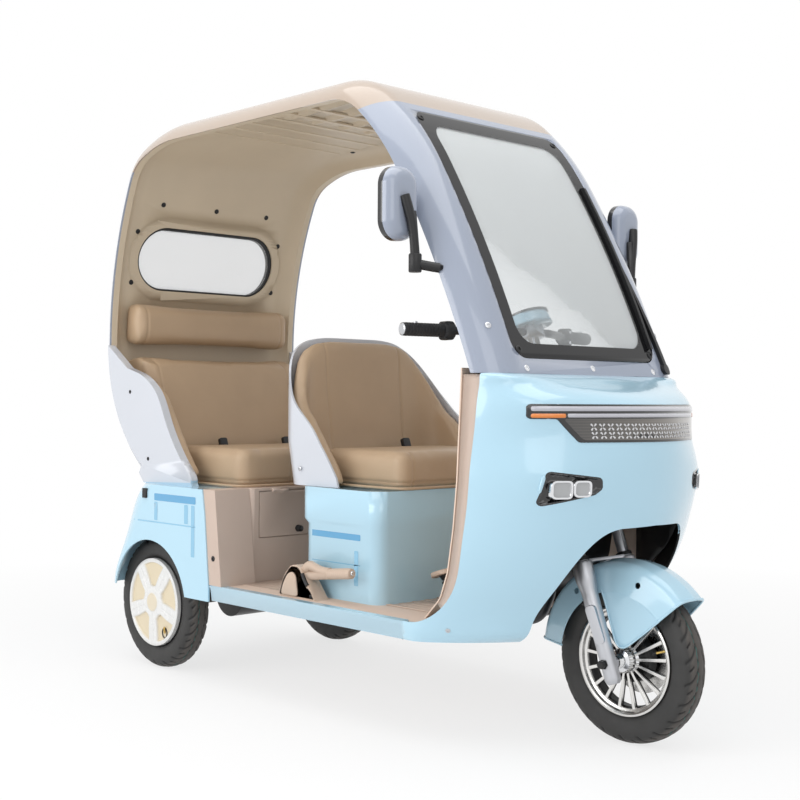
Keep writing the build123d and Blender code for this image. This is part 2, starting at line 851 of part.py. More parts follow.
cushion_front = 1002
cushion_top = 716
with BuildPart() as driver_cushion:
    with BuildSketch(level(box_top + running_gap)):
        with Locations(((cushion_front + 612) / 2, 0)):
            RectangleRounded(cushion_front - 612, 2 * 268, 40)
    extrude(amount=cushion_top - box_top)
    fillet(driver_cushion.faces().sort_by(Axis.Z)[-1].edges(), 24)

# ---------------------------------------------------------------- controls
brake_y = -374
brake_width = 48
with BuildPart() as parking_brake:
    with BuildSketch(side.offset(-brake_y - brake_width / 2)):
        with BuildLine():
            Polyline(
                (640, floor_top), (655, 350), (690, 392), (728, 392), (752, 362), (800, floor_top), close=True
            )
        make_face()
    extrude(amount=brake_width)
    with BuildSketch(Plane(origin=(rear_axle_x + 735, brake_y, 368), z_dir=(1, 0, 0.12))):
        Circle(13)
    extrude(amount=190)

pedal_x = 1062
pedal_y = -150
with BuildPart() as brake_pedal:
    with BuildSketch(Plane(origin=(rear_axle_x + pedal_x, pedal_y, 384), z_dir=(-0.35, 0, 1))):
        Circle(43)
    extrude(amount=12)
    with BuildSketch(level(floor_top)):
        with Locations((pedal_x + 20, pedal_y)):
            Circle(13)
    extrude(amount=84)
    add(floor_board.part, mode=Mode.SUBTRACT)

mirror_head_at = (1195, 461, waist_height + 315)
mirror_head_size = (112, 186)
mirror_depth = 44
with BuildPart() as mirror_arms:
    with BuildLine() as arm_line:
        FilletPolyline(
            (rear_axle_x + 1268, 384, waist_height + 154),
            (rear_axle_x + 1235, 440, waist_height + 162),
            (rear_axle_x + 1225, 446, waist_height + 294),
            radius=18,
        )
    with BuildSketch(Plane(origin=arm_line.line @ 0, z_dir=arm_line.line % 0)):
        Circle(9)
    sweep(path=arm_line.line)
    add(windscreen_frame.part, mode=Mode.SUBTRACT)
    mirror(about=Plane.XZ)

with BuildPart() as mirror_heads:
    with BuildSketch(front_view.offset(mirror_head_at[0] - mirror_depth / 2)):
        with Locations((mirror_head_at[1], mirror_head_at[2])):
            RectangleRounded(mirror_head_size[0], mirror_head_size[1], 50)
    extrude(amount=mirror_depth)
    fillet(mirror_heads.faces().sort_by(Axis.X)[-1].edges(), mirror_depth - 12)
    with BuildSketch(front_view.offset(mirror_head_at[0] - mirror_depth / 2)):
        with Locations((mirror_head_at[1], mirror_head_at[2])):
            RectangleRounded(mirror_head_size[0] - 14, mirror_head_size[1] - 14, 43)
    extrude(amount=4, mode=Mode.SUBTRACT)
    mirror(about=Plane.XZ)
    add(mirror_arms.part, mode=Mode.SUBTRACT)

wiper_y = 276
wiper_height = screen_low + 274
wiper_length = 470
wiper_pivot = (318, seam_height + 22)
with BuildPart() as wiper:
    add(canopy_layer(-12, -running_gap, canopy_depth))
    with BuildSketch(front_view.offset(screen_start)):
        with Locations((wiper_y, wiper_height)):
            Rectangle(9, wiper_length)
        with BuildLine():
            Polyline(
                (wiper_pivot[0] - 8, wiper_pivot[1]),
                (wiper_pivot[0] + 8, wiper_pivot[1]),
                (wiper_y + 4, wiper_height),
                (wiper_y - 4, wiper_height),
                close=True,
            )
        make_face()
        with Locations(wiper_pivot):
            Circle(15)
    extrude(amount=screen_run, mode=Mode.INTERSECT)

# ---------------------------------------------------------------- rear axle
axle_radius = 24
axle_half_length = 312
shaft_radius = 15
motor_radius = 78
motor_length = 210
with BuildPart() as rear_axle:
    with BuildSketch(Plane(origin=(rear_axle_x, -axle_half_length, axle_z), z_dir=(0, 1, 0))):
        Circle(axle_radius)
    extrude(amount=2 * axle_half_length)
    with BuildSketch(Plane(origin=(rear_axle_x, -rear_track / 2 - 20, axle_z), z_dir=(0, 1, 0))):
        Circle(shaft_radius)
    extrude(amount=rear_track + 40)

with BuildPart() as drive_motor:
    with BuildSketch(Plane(origin=(rear_axle_x, -motor_length / 2, axle_z), z_dir=(0, 1, 0))):
        Circle(motor_radius)
    extrude(amount=motor_length)
    with BuildSketch(Plane(origin=(rear_axle_x, -motor_length / 2, axle_z), z_dir=(0, 1, 0))):
        Circle(axle_radius)
    extrude(amount=motor_length, mode=Mode.SUBTRACT)

spring_half_length = 150
spring_thick = 8
spring_width = 44
spring_foot = axle_z + axle_radius
spring_eye = rail_z - rail_radius - spring_thick
with BuildPart() as leaf_springs:
    with BuildSketch(side.offset(-rail_y - spring_width / 2)):
        with BuildLine():
            ends = (-spring_half_length, spring_half_length)
            lower_leaf = ThreePointArc((ends[0], spring_eye), (0, spring_foot), (ends[1], spring_eye))
            upper_leaf = ThreePointArc(
                (ends[0], spring_eye + spring_thick),
                (0, spring_foot + spring_thick),
                (ends[1], spring_eye + spring_thick),
            )
            Line(lower_leaf @ 0, upper_leaf @ 0)
            Line(lower_leaf @ 1, upper_leaf @ 1)
        make_face()
    extrude(amount=spring_width)
    mirror(about=Plane.XZ)

# ---------------------------------------------------------------- steering
leg_radius = 20
tube_radius = 15
leg_foot = 26
leg_length = 262
yoke_up = 388
yoke_thick = 22
bar_up = 905
axle_up = -axle_lead * tan(radians(rake))
clamp_half = 16
brace_width = 26
brace_thick = 8
front_axle_radius = 7
fender_radius = 252
fender_wall = 3
bar_radius = 11
bar_end = (1118, 378)
bar_elbow = (1146, 245)
bar_end_z = 1044
with BuildPart() as handlebar:
    with BuildLine() as bar_line:
        FilletPolyline(
            (rear_axle_x + bar_end[0], -bar_end[1], bar_end_z),
            (rear_axle_x + bar_elbow[0], -bar_elbow[1], bar_end_z),
            steer_point(bar_up - clamp_half, 0, -70),
            steer_point(bar_up - clamp_half, 0, 70),
            (rear_axle_x + bar_elbow[0], bar_elbow[1], bar_end_z),
            (rear_axle_x + bar_end[0], bar_end[1], bar_end_z),
            radius=40,
        )
    with BuildSketch(Plane(origin=bar_line.line @ 0, z_dir=bar_line.line % 0)):
        Circle(bar_radius)
    sweep(path=bar_line.line)

with BuildPart() as fork:
    for y in (-fork_half_width, fork_half_width):
        with BuildSketch(steer_plane(axle_up - leg_foot, axle_lead, y)):
            Circle(leg_radius)
        extrude(amount=leg_foot + leg_length)
        with BuildSketch(steer_plane(axle_up + leg_length, axle_lead, y)):
            Circle(tube_radius)
        extrude(amount=yoke_up + yoke_thick - axle_up - leg_length)
    with BuildSketch(steer_plane(yoke_up)):
        with Locations((axle_lead / 2, 0)):
            RectangleRounded(axle_lead + 60, 2 * fork_half_width + 50, 20)
    extrude(amount=yoke_thick)
    with BuildSketch(steer_plane(yoke_up)):
        Circle(stem_radius)
    extrude(amount=bar_up - clamp_half - yoke_up)
    with BuildSketch(steer_plane(bar_up - 2 * clamp_half)):
        RectangleRounded(2 * clamp_half + 6, 70, 8)
    extrude(amount=2 * clamp_half)
    with BuildSketch(steer_plane(axle_up + fender_radius + fender_wall + running_gap, axle_lead)):
        Rectangle(brace_width, 2 * fork_half_width)
    extrude(amount=brace_thick)
    with BuildSketch(Plane(origin=(front_axle_x, -2 * fork_half_width, axle_z), z_dir=(0, 1, 0))):
        Circle(front_axle_radius + bearing_clearance)
    extrude(amount=4 * fork_half_width, mode=Mode.SUBTRACT)
    add(handlebar.part, mode=Mode.SUBTRACT)

with BuildPart() as front_axle:
    with BuildSketch(Plane(origin=(front_axle_x, -fork_half_width - 26, axle_z), z_dir=(0, 1, 0))):
        Circle(front_axle_radius)
    extrude(amount=2 * fork_half_width + 52)

fender_half_width = 59
fender_skirt = 78
fender_flare = 4
fender_start = 42
fender_arc = 132
fender_holes = (72, 128)
with BuildPart() as front_fender:
    start_dir = (cos(radians(fender_start)), 0, sin(radians(fender_start)))
    with BuildSketch(Plane(origin=(front_axle_x, 0, axle_z), x_dir=start_dir, z_dir=(-start_dir[2], 0, start_dir[0]))):
        with BuildLine():
            section = FilletPolyline(
                (fender_radius - fender_skirt, -fender_half_width - fender_flare),
                (fender_radius - 8, -fender_half_width + 8),
                (fender_radius, 0),
                (fender_radius - 8, fender_half_width - 8),
                (fender_radius - fender_skirt, fender_half_width + fender_flare),
                radius=22,
            )
            offset(section, amount=fender_wall, side=Side.RIGHT, closed=True)
        make_face()
    revolve(axis=Axis((front_axle_x, 0, axle_z), (0, -1, 0)), revolution_arc=fender_arc)
    with BuildSketch(Plane(origin=(front_axle_x, -2 * fender_half_width, axle_z), z_dir=(0, 1, 0), x_dir=(1, 0, 0))):
        for turn in fender_holes:
            with Locations(((fender_radius - 45) * cos(radians(turn)), -(fender_radius - 45) * sin(radians(turn)))):
                Circle(8)
    extrude(amount=4 * fender_half_width, mode=Mode.SUBTRACT)


grip_radius = 17
grip_length = 125
switch_radius = 22
switch_length = 32
with BuildPart() as grips:
    for turned in (-1, 1):
        along = Vector(bar_elbow[0] - bar_end[0], turned * (bar_elbow[1] - bar_end[1]), 0).normalized()
        grip_plane = Plane(origin=(rear_axle_x + bar_end[0], turned * bar_end[1], bar_end_z), z_dir=along)
        with BuildSketch(grip_plane):
            Circle(grip_radius)
            Circle(bar_radius, mode=Mode.SUBTRACT)
        extrude(amount=grip_length)
        with BuildSketch(grip_plane.offset(grip_length - 2)):
            Circle(switch_radius)
        extrude(amount=switch_length)
    add(handlebar.part, mode=Mode.SUBTRACT)

with BuildPart() as nacelle:
    with BuildSketch(steer_plane(bar_up)):
        Circle(62)
    extrude(amount=34, taper=12)

# ---------------------------------------------------------------- wheels
tyre_bead_half = 26
tyre_wall = (18, 24)  # height of the slope at the bead, and of the shoulder
tread_half = 15
hub_radius = 32
rim_width = 62
rim_wall = 7
spokes = 15


def wheel_plane(x, y):
    """Sketch plane through a wheel's axis: local x is the radius, local y runs to the left."""
    return Plane(origin=(x, y, axle_z), x_dir=(0, 0, 1), z_dir=(-1, 0, 0))


def wheel_axis(x):
    return Axis((x, 0, axle_z), (0, 1, 0))


def tyre(x, y):
    with BuildPart() as ring:
        with BuildSketch(wheel_plane(x, y)):
            with BuildLine():
                bead = rim_radius + running_gap
                Polyline(
                    (bead, -tyre_bead_half),
                    (bead + tyre_wall[0], -tyre_width / 2),
                    (tyre_radius - tyre_wall[1], -tyre_width / 2),
                    (tyre_radius, -tread_half),
                    (tyre_radius, tread_half),
                    (tyre_radius - tyre_wall[1], tyre_width / 2),
                    (bead + tyre_wall[0], tyre_width / 2),
                    (bead, tyre_bead_half),
                    close=True,
                )
            make_face()
        revolve(axis=wheel_axis(x))
    return ring


front_tyre = tyre(front_axle_x, 0)

rim_well = 13  # how far the middle of the rim lies below its bead seats
with BuildSketch() as rim_section:
    with BuildLine():
        Polyline(
            (rim_radius, -rim_width / 2),
            (rim_radius, -18),
            (rim_radius - rim_well, -10),
            (rim_radius - rim_well, 10),
            (rim_radius, 18),
            (rim_radius, rim_width / 2),
            (rim_radius - rim_wall, rim_width / 2),
            (rim_radius - rim_wall, 21),
            (rim_radius - rim_wall - rim_well, 13),
            (rim_radius - rim_wall - rim_well, -13),
            (rim_radius - rim_wall, -21),
            (rim_radius - rim_wall, -rim_width / 2),
            close=True,
        )
    make_face()

with BuildPart() as front_rim:
    with BuildSketch(wheel_plane(front_axle_x, 0)):
        add(rim_section.sketch)
        hub_bore = front_axle_radius + bearing_clearance
        with Locations(((hub_radius + hub_bore) / 2, 0)):
            Rectangle(hub_radius - hub_bore, 2 * (fork_half_width - leg_radius - running_gap))
    revolve(axis=wheel_axis(front_axle_x))
    with BuildSketch(Plane(origin=(front_axle_x, -28, axle_z), x_dir=(0, 0, 1), z_dir=(0, 1, 0))):
        with PolarLocations((hub_radius + rim_radius - rim_wall) / 2, spokes):
            Rectangle(rim_radius - rim_wall - hub_radius + 6, 9)
    extrude(amount=12)

disc_radius = 92
with BuildPart() as brake_disc:
    with BuildSketch(Plane(origin=(front_axle_x, 42, axle_z), z_dir=(0, 1, 0))):
        Circle(disc_radius)
        Circle(hub_radius, mode=Mode.SUBTRACT)
    extrude(amount=4)

cover_spokes = 5
pocket_floor = 39
with BuildSketch() as pocket:
    with BuildLine():
        Polyline((60, -20), (60, 20), (112, 40), (118, 0), (112, -40), close=True)
    make_face()
    fillet(pocket.vertices(), 8)

rear_pieces = {}
for name, y in (("right", -rear_track / 2), ("left", rear_track / 2)):
    outward = 1 if y > 0 else -1
    rear_pieces[f"rear_tyre_{name}"] = tyre(rear_axle_x, y)
    with BuildPart() as rear_rim:
        with BuildSketch(wheel_plane(rear_axle_x, y)):
            add(rim_section.sketch)
            with Locations(((shaft_radius + bearing_clearance + rim_radius) / 2, 0)):
                Rectangle(rim_radius - shaft_radius - bearing_clearance, 8)
            with Locations(((shaft_radius + bearing_clearance + hub_radius) / 2, -outward * 12)):
                Rectangle(hub_radius - shaft_radius - bearing_clearance, 64)
        revolve(axis=wheel_axis(rear_axle_x))
    rear_pieces[f"rear_rim_{name}"] = rear_rim
    with BuildPart() as cover:
        with BuildSketch(wheel_plane(rear_axle_x, y)):
            with BuildLine():
                Polyline(
                    (0, outward * 36),
                    (46, outward * 36),
                    (rim_radius - 10, outward * 34),
                    (rim_radius - 4, outward * (rim_width / 2)),
                    (rim_radius, outward * (rim_width / 2)),
                    (rim_radius, outward * 39),
                    (rim_radius - 12, outward * 42),
                    (46, outward * 46),
                    (40, outward * 50),
                    (0, outward * 50),
                    close=True,
                )
            make_face()
        revolve(axis=wheel_axis(rear_axle_x))
        face_plane = Plane(origin=(rear_axle_x, y + outward * pocket_floor, axle_z), x_dir=(0, 0, 1), z_dir=(0, outward, 0))
        with BuildSketch(face_plane):
            with PolarLocations(0, cover_spokes):
                add(pocket.sketch)
            with PolarLocations(86, cover_spokes, start_angle=180 / cover_spokes):
                SlotOverall(58, 9)
        extrude(amount=20, mode=Mode.SUBTRACT)
    rear_pieces[f"wheel_cover_{name}"] = cover

# ---------------------------------------------------------------- export
pieces = {
    "roof_panel": roof_panel,
    "rear_canopy_shell": rear_canopy_shell,
    "canopy_liner": canopy_liner,
    "rear_window": rear_window,
    "rear_window_seal": rear_window_seal,
    "windscreen_frame": windscreen_frame,
    "windscreen_glass": windscreen_glass,
    "windscreen_band": windscreen_band,
    "seat_wings": seat_wings,
    "front_cowl": front_cowl,
    "headlamp_bar": headlamp_bar,
    "fog_lamps": fog_lamps,
    "chassis_frame": chassis_frame,
    "floor_board": floor_board,
    "leg_shield": leg_shield,
    "dash_top": dash_top,
    "rear_body": rear_body,
    "rear_pillars": rear_pillars,
    "tail_lamps": tail_lamps,
    "rear_seat_base": rear_seat_base,
    "storage_flap": storage_flap,
    "flap_knobs": flap_knobs,
    "rear_cushion": rear_cushion,
    "rear_backrest": rear_backrest,
    "rear_headrest": rear_headrest,
    "driver_seat_box": driver_seat_box,
    "battery_pack": battery_pack,
    "driver_seat_shell": driver_seat_shell,
    "driver_seat_pad": driver_seat_pad,
    "driver_cushion": driver_cushion,
    "parking_brake": parking_brake,
    "brake_pedal": brake_pedal,
    "mirror_heads": mirror_heads,
    "mirror_arms": mirror_arms,
    "wiper": wiper,
    "rear_axle": rear_axle,
    "drive_motor": drive_motor,
    "leaf_springs": leaf_springs,
    "fork": fork,
    "front_axle": front_axle,
    "front_fender": front_fender,
    "handlebar": handlebar,
    "grips": grips,
    "nacelle": nacelle,
    "front_rim": front_rim,
    "front_tyre": front_tyre,
    "brake_disc": brake_disc,
    **rear_pieces,
}
os.makedirs("parts", exist_ok=True)
for name, piece in pieces.items():
    piece.part.label = name
    export_step(piece.part, f"parts/{name}.step")
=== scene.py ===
import json
from math import cos, hypot, pi, radians, sin

import bmesh
import bpy
import numpy as np
from mathutils import Matrix, Vector
from mathutils.bvhtree import BVHTree

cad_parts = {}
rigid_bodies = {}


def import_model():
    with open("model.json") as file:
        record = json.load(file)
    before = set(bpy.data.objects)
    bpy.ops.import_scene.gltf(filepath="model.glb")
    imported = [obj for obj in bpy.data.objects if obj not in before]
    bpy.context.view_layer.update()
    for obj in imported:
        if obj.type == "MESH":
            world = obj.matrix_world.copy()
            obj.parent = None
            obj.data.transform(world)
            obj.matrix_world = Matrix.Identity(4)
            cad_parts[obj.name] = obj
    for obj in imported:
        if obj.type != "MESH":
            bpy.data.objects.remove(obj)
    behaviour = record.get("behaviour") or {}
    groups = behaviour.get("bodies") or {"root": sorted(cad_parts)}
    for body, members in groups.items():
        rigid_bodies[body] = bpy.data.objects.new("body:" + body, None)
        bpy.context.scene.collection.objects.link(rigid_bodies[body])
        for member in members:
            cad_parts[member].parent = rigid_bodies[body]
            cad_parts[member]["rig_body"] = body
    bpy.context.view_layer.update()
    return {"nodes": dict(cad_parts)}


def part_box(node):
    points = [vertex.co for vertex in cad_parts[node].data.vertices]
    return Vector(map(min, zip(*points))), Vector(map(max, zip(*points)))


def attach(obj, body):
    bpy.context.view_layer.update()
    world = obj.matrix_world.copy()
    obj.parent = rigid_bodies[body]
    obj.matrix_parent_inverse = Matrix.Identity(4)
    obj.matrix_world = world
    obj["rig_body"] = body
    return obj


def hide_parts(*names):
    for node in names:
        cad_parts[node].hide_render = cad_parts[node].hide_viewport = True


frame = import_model()
cadNodes = frame["nodes"]
nodeBody = {name: obj["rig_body"] for name, obj in cadNodes.items()}
collection = bpy.context.scene.collection
sides = (("Right", -1), ("Left", 1))

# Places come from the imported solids. Side views count from the rear axle.
rearTyreLow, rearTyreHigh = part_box("rear_tyre_right")
frontTyreLow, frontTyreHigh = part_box("front_tyre")
rearAxleX = (rearTyreLow.x + rearTyreHigh.x) / 2
frontAxleX = (frontTyreLow.x + frontTyreHigh.x) / 2
axleHeight = (frontTyreLow.z + frontTyreHigh.z) / 2


def ahead(x, y, z):
    return Vector((rearAxleX + x, y, z))


def beside(side, spot):
    # the same spot on the right or on the left
    x, y, z = spot
    return ahead(x, side * y, z)


# camera
cameraSet = {
    "eye": (3.558, -2.6962, 0.8642),  # ahead of the rear axle, out, up
    "turn": 0.81227,
    "tilt": -0.00114,
    "roll": 0.00697,
    "lens": 58.682,
}


def makeCamera(c):
    look = Vector((-sin(c["turn"]) * cos(c["tilt"]), cos(c["turn"]) * cos(c["tilt"]), sin(c["tilt"])))
    right = look.cross(Vector((0, 0, 1))).normalized()
    up = right.cross(look)
    right, up = right * cos(c["roll"]) + up * sin(c["roll"]), up * cos(c["roll"]) - right * sin(c["roll"])
    data = bpy.data.cameras.new("camera")
    data.lens = c["lens"]
    data.sensor_width = 36
    data.clip_end = 60
    camera = bpy.data.objects.new("camera", data)
    collection.objects.link(camera)
    turned = Matrix((right, up, -look)).transposed().to_4x4()
    camera.matrix_world = Matrix.Translation(ahead(*c["eye"])) @ turned
    bpy.context.scene.camera = camera


makeCamera(cameraSet)
bpy.context.scene.view_settings.view_transform = "Standard"
print("camera set")


# shader building
def feed(tree, socket, value):
    if isinstance(value, Wire):
        tree.links.new(value.socket, socket)
    elif isinstance(value, tuple) and len(value) == 3 and len(getattr(socket, "default_value", ())) == 4:
        socket.default_value = (*value, 1)
    else:
        socket.default_value = value


class Wire:
    def __init__(self, tree, socket):
        self.tree = tree
        self.socket = socket

    def maths(self, operation, *others):
        node = self.tree.nodes.new("ShaderNodeMath")
        node.operation = operation
        for place, value in enumerate((self, *others)):
            feed(self.tree, node.inputs[place], value)
        return Wire(self.tree, node.outputs[0])

    def __add__(self, other):
        return self.maths("ADD", other)

    def __sub__(self, other):
        return self.maths("SUBTRACT", other)

    def __rsub__(self, other):
        return self.maths("MULTIPLY_ADD", -1, other)

    def __mul__(self, other):
        return self.maths("MULTIPLY", other)

    def __truediv__(self, other):
        return self.maths("DIVIDE", other)

    def __abs__(self):
        return self.maths("ABSOLUTE")

    __radd__ = __add__
    __rmul__ = __mul__

    def over(self, edge, soft=0.001):
        return ((self - edge) / soft + 0.5).maths("MAXIMUM", 0).maths("MINIMUM", 1)

    def under(self, edge, soft=0.001):
        return 1 - self.over(edge, soft)

    def within(self, low, high, soft=0.001):
        return self.over(low, soft) * self.under(high, soft)


class Finish:
    def __init__(self, name, **sockets):
        self.material = bpy.data.materials.new(name)
        self.material.use_nodes = True
        self.tree = self.material.node_tree
        self.shader = self.tree.nodes["Principled BSDF"]
        self.place = self.node("ShaderNodeTexCoord", output="Object")
        self.set(**sockets)

    def node(self, kind, settings=None, output=0, **sockets):
        # a socket is named with _ for a space, or by its number as in _1
        made = self.tree.nodes.new(kind)
        for name, value in (settings or {}).items():
            setattr(made, name, value)
        for name, value in sockets.items():
            spaced = name.replace("_", " ")
            socket = made.inputs[int(spaced[1:])] if spaced[1:].isdigit() else made.inputs[spaced]
            feed(self.tree, socket, value)
        return Wire(self.tree, made.outputs[output])

    def set(self, **sockets):
        for name, value in sockets.items():
            feed(self.tree, self.shader.inputs[name.replace("_", " ")], value)
        return self

    def axes(self, wanted):
        parts = self.node("ShaderNodeSeparateXYZ", Vector=self.place).socket.node
        return [Wire(self.tree, parts.outputs[letter]) for letter in wanted]

    def mark(self, name):
        # a value that the mesh itself carries
        return self.node("ShaderNodeAttribute", {"attribute_name": name}, output=2)

    def fedInto(self, name):
        return Wire(self.tree, self.shader.inputs[name].links[0].from_socket)

    def surface(self):
        return next(n for n in self.tree.nodes if n.type == "OUTPUT_MATERIAL").inputs["Surface"]

    def layer(self, share, under, over):
        both = self.node("ShaderNodeMixShader", Fac=share, _1=under, _2=over)
        self.tree.links.new(both.socket, self.surface())
        return self

    def noise(self, scale, detail=3):
        return self.node("ShaderNodeTexNoise", Vector=self.place, Scale=scale, Detail=detail)

    def mix(self, factor, low, high):
        node = self.tree.nodes.new("ShaderNodeMix")
        node.data_type = "RGBA"
        feed(self.tree, node.inputs[0], factor)
        feed(self.tree, node.inputs[6], low)
        feed(self.tree, node.inputs[7], high)
        return Wire(self.tree, node.outputs[2])

    def bump(self, height, depth):
        self.shader.inputs["Normal"].default_value = (0, 0, 0)
        return self.set(Normal=self.node("ShaderNodeBump", Height=height, Distance=depth))


def shade(colour, factor):
    return tuple(min(1.0, part * factor) for part in colour)


# finishes
colours = {
    "blue": (0.46, 0.70, 0.84),
    "lilac": (0.33, 0.372, 0.465),
    "seatShell": (0.62, 0.645, 0.70),
    "roof": (0.47, 0.375, 0.30),
    "liner": (0.66, 0.555, 0.415),
    "floor": (0.56, 0.44, 0.36),
    "leather": (0.51, 0.368, 0.24),
    "trim": (0.60, 0.475, 0.40),
    "black": (0.012, 0.012, 0.013),
    "tyre": (0.020, 0.0195, 0.019),
    "wornTread": (0.085, 0.075, 0.068),
    "silver": (0.62, 0.63, 0.65),
    "white": (0.78, 0.78, 0.77),
    "cream": (0.74, 0.64, 0.46),
    "orange": (0.80, 0.23, 0.03),
    "stripe": (0.10, 0.36, 0.62),
    "paleStripe": (0.25, 0.52, 0.72),
}


def gloss(name, colour, roughness=0.16):
    finish = Finish(name, Coat_Roughness=0.04, IOR=1.47)
    drift = finish.noise(3.0, 2)
    finish.set(Base_Color=finish.mix(drift, shade(colour, 0.965), shade(colour, 1.02)))
    finish.set(Roughness=finish.noise(60, 2) * 0.06 + roughness, Coat_Weight=0.75)
    return finish.bump(finish.noise(26, 2), 0.00003)


# the cowl's inside is black ahead of and below these places, partly the black well and partly painted shade
# in the arch; the shield's far side within this half width
wellBlackAndShadeSet = {"ahead": 1.325, "below": 0.70, "shieldHalf": 0.300}


def cowlPaint(name, colour, s):
    # the paint of the cowl; faces marked inside are black ahead of the leg shield, partly for the black well
    # and partly as painted shade in the arch
    finish = gloss(name, colour)
    x, z = finish.axes("XZ")
    # painted shade: inward faces in the arch are made black, standing partly for the black well
    black = finish.mark("inside") * (x - rearAxleX).over(s["ahead"], 0.004) * z.under(s["below"], 0.004)
    rough = finish.fedInto("Roughness")
    finish.set(Base_Color=finish.mix(black, finish.fedInto("Base Color"), colours["black"]))
    return finish.set(Coat_Weight=black * -0.75 + 0.75, Roughness=rough + black * 0.6)


def shieldPlastic(name, colour, s):
    # tan to the cab, brightened as painted light on edges that face away from the lamps; black to the wheel,
    # partly the black well and partly painted shade, except along the edges that show beside the door
    finish = satin(name, colour, 0.42, 900)
    (y,) = finish.axes("Y")
    # painted shade: the face towards the wheel is made black, standing partly for the black well
    black = finish.mark("inside") * abs(y).under(s["shieldHalf"], 0.002)
    return finish.set(Base_Color=finish.mix(black, finish.fedInto("Base Color"), colours["black"]))


def floorRibs(name, colour):
    # ribs along the floor, on its upper face only
    pitch, height = 0.026, 0.0016
    finish = satin(name, colour, 0.46)
    y, z = finish.axes("YZ")
    wave = (y * (2 * pi / pitch)).maths("SINE")
    return finish.bump(wave.over(-0.2, 0.5) * z.over(floorTop - 0.0006, 0.0004), height)


def satin(name, colour, roughness, grain=1500):
    finish = Finish(name, IOR=1.46)
    patches = finish.noise(6, 3)
    finish.set(Base_Color=finish.mix(patches, shade(colour, 0.93), shade(colour, 1.05)))
    finish.set(Roughness=finish.noise(40, 3) * 0.14 + (roughness - 0.07))
    return finish.bump(finish.noise(grain, 2), 0.00006)


def leather(name, colour):
    finish = Finish(name, IOR=1.45)
    cells = finish.node("ShaderNodeTexVoronoi", {"feature": "DISTANCE_TO_EDGE"}, Vector=finish.place,
                        Scale=620.0)
    pores = cells.over(0.0, 0.16)
    patches = finish.noise(9, 4)
    finish.set(Base_Color=finish.mix(patches * 0.7 + pores * 0.3, shade(colour, 0.86), shade(colour, 1.06)))
    finish.set(Roughness=pores * -0.08 + finish.noise(30, 3) * 0.12 + 0.44)
    return finish.bump(pores * 0.6 + finish.noise(150, 3) * 0.5, 0.00016)


def metal(name, colour, roughness):
    finish = Finish(name, Metallic=1.0)
    drift = finish.noise(18, 3)
    finish.set(Base_Color=finish.mix(drift, shade(colour, 0.9), colour))
    finish.set(Roughness=finish.noise(90, 4) * 0.05 + (roughness - 0.02))
    return finish.bump(finish.noise(700, 2), 0.000008)


def glassLike(name, tint, clear, roughness=0.02):
    # a thin pane: most light goes straight through, the rest is a glossy reflection
    finish = Finish(name, Base_Color=tint, Roughness=roughness, IOR=1.5)
    through = finish.node("ShaderNodeBsdfTransparent", Color=tint)
    edge = finish.node("ShaderNodeLayerWeight", Blend=0.16)
    share = edge * 0.9 + finish.noise(2.2, 3) * 0.05 + (1 - clear)
    return finish.layer(share.maths("MINIMUM", 1), through, Wire(finish.tree, finish.shader.outputs[0]))


def smokedLens(name):
    # grey lens, darker towards the vehicle's right
    finish = Finish(name, Coat_Weight=0.8, Coat_Roughness=0.03)
    y, z = finish.axes("YZ")
    lines = (z * 900).maths("SINE") * 0.06
    light = (y * 1.6 + 0.42 + lines).maths("MAXIMUM", 0).maths("MINIMUM", 1)
    finish.set(Base_Color=finish.mix(light, (0.055, 0.052, 0.050), (0.30, 0.265, 0.225)))
    return finish.set(Roughness=finish.noise(60, 2) * 0.06 + 0.12)


def rubber(name, colour):
    finish = Finish(name, IOR=1.5)
    dust = finish.noise(14, 5)
    finish.set(Base_Color=finish.mix(dust, colour, shade(colour, 1.8)))
    finish.set(Roughness=finish.noise(50, 3) * 0.16 + 0.54)
    return finish.bump(finish.noise(900, 3), 0.0001)


def screenPane(name, low, high, corner, band):
    # clear glass inside a wide black printed band that follows the pane's rounded corners
    finish = glassLike(name, (0.90, 0.915, 0.92), 0.93)
    y, z = finish.axes("YZ")
    middle, half = (low.z + high.z) / 2, (high.z - low.z) / 2
    across = (abs(y) - (high.y - corner)).maths("MAXIMUM", 0)
    upward = (abs(z - middle) - (half - corner)).maths("MAXIMUM", 0)
    corners = (across * across + upward * upward).maths("SQRT")
    straight = (abs(y) - high.y).maths("MAXIMUM", abs(z - middle) - half)
    edge = (corners - corner).maths("MAXIMUM", straight)
    clear = Wire(finish.tree, finish.surface().links[0].from_socket)
    black = finish.node("ShaderNodeBsdfPrincipled", Base_Color=(0.006, 0.006, 0.007), Roughness=0.07)
    return finish.layer(edge.over(-band, 0.0012), clear, black)


def wheelCover(name):
    # white star; the cream attribute marks the pockets and the centre cap
    finish = Finish(name, Coat_Weight=0.4, Coat_Roughness=0.1)
    cream = finish.mark("cream")
    finish.set(Base_Color=finish.mix(cream, colours["white"], colours["cream"]))
    finish.set(Roughness=cream * 0.15 + finish.noise(30, 3) * 0.1 + 0.22)
    return finish.bump(finish.noise(300, 2), 0.00003)


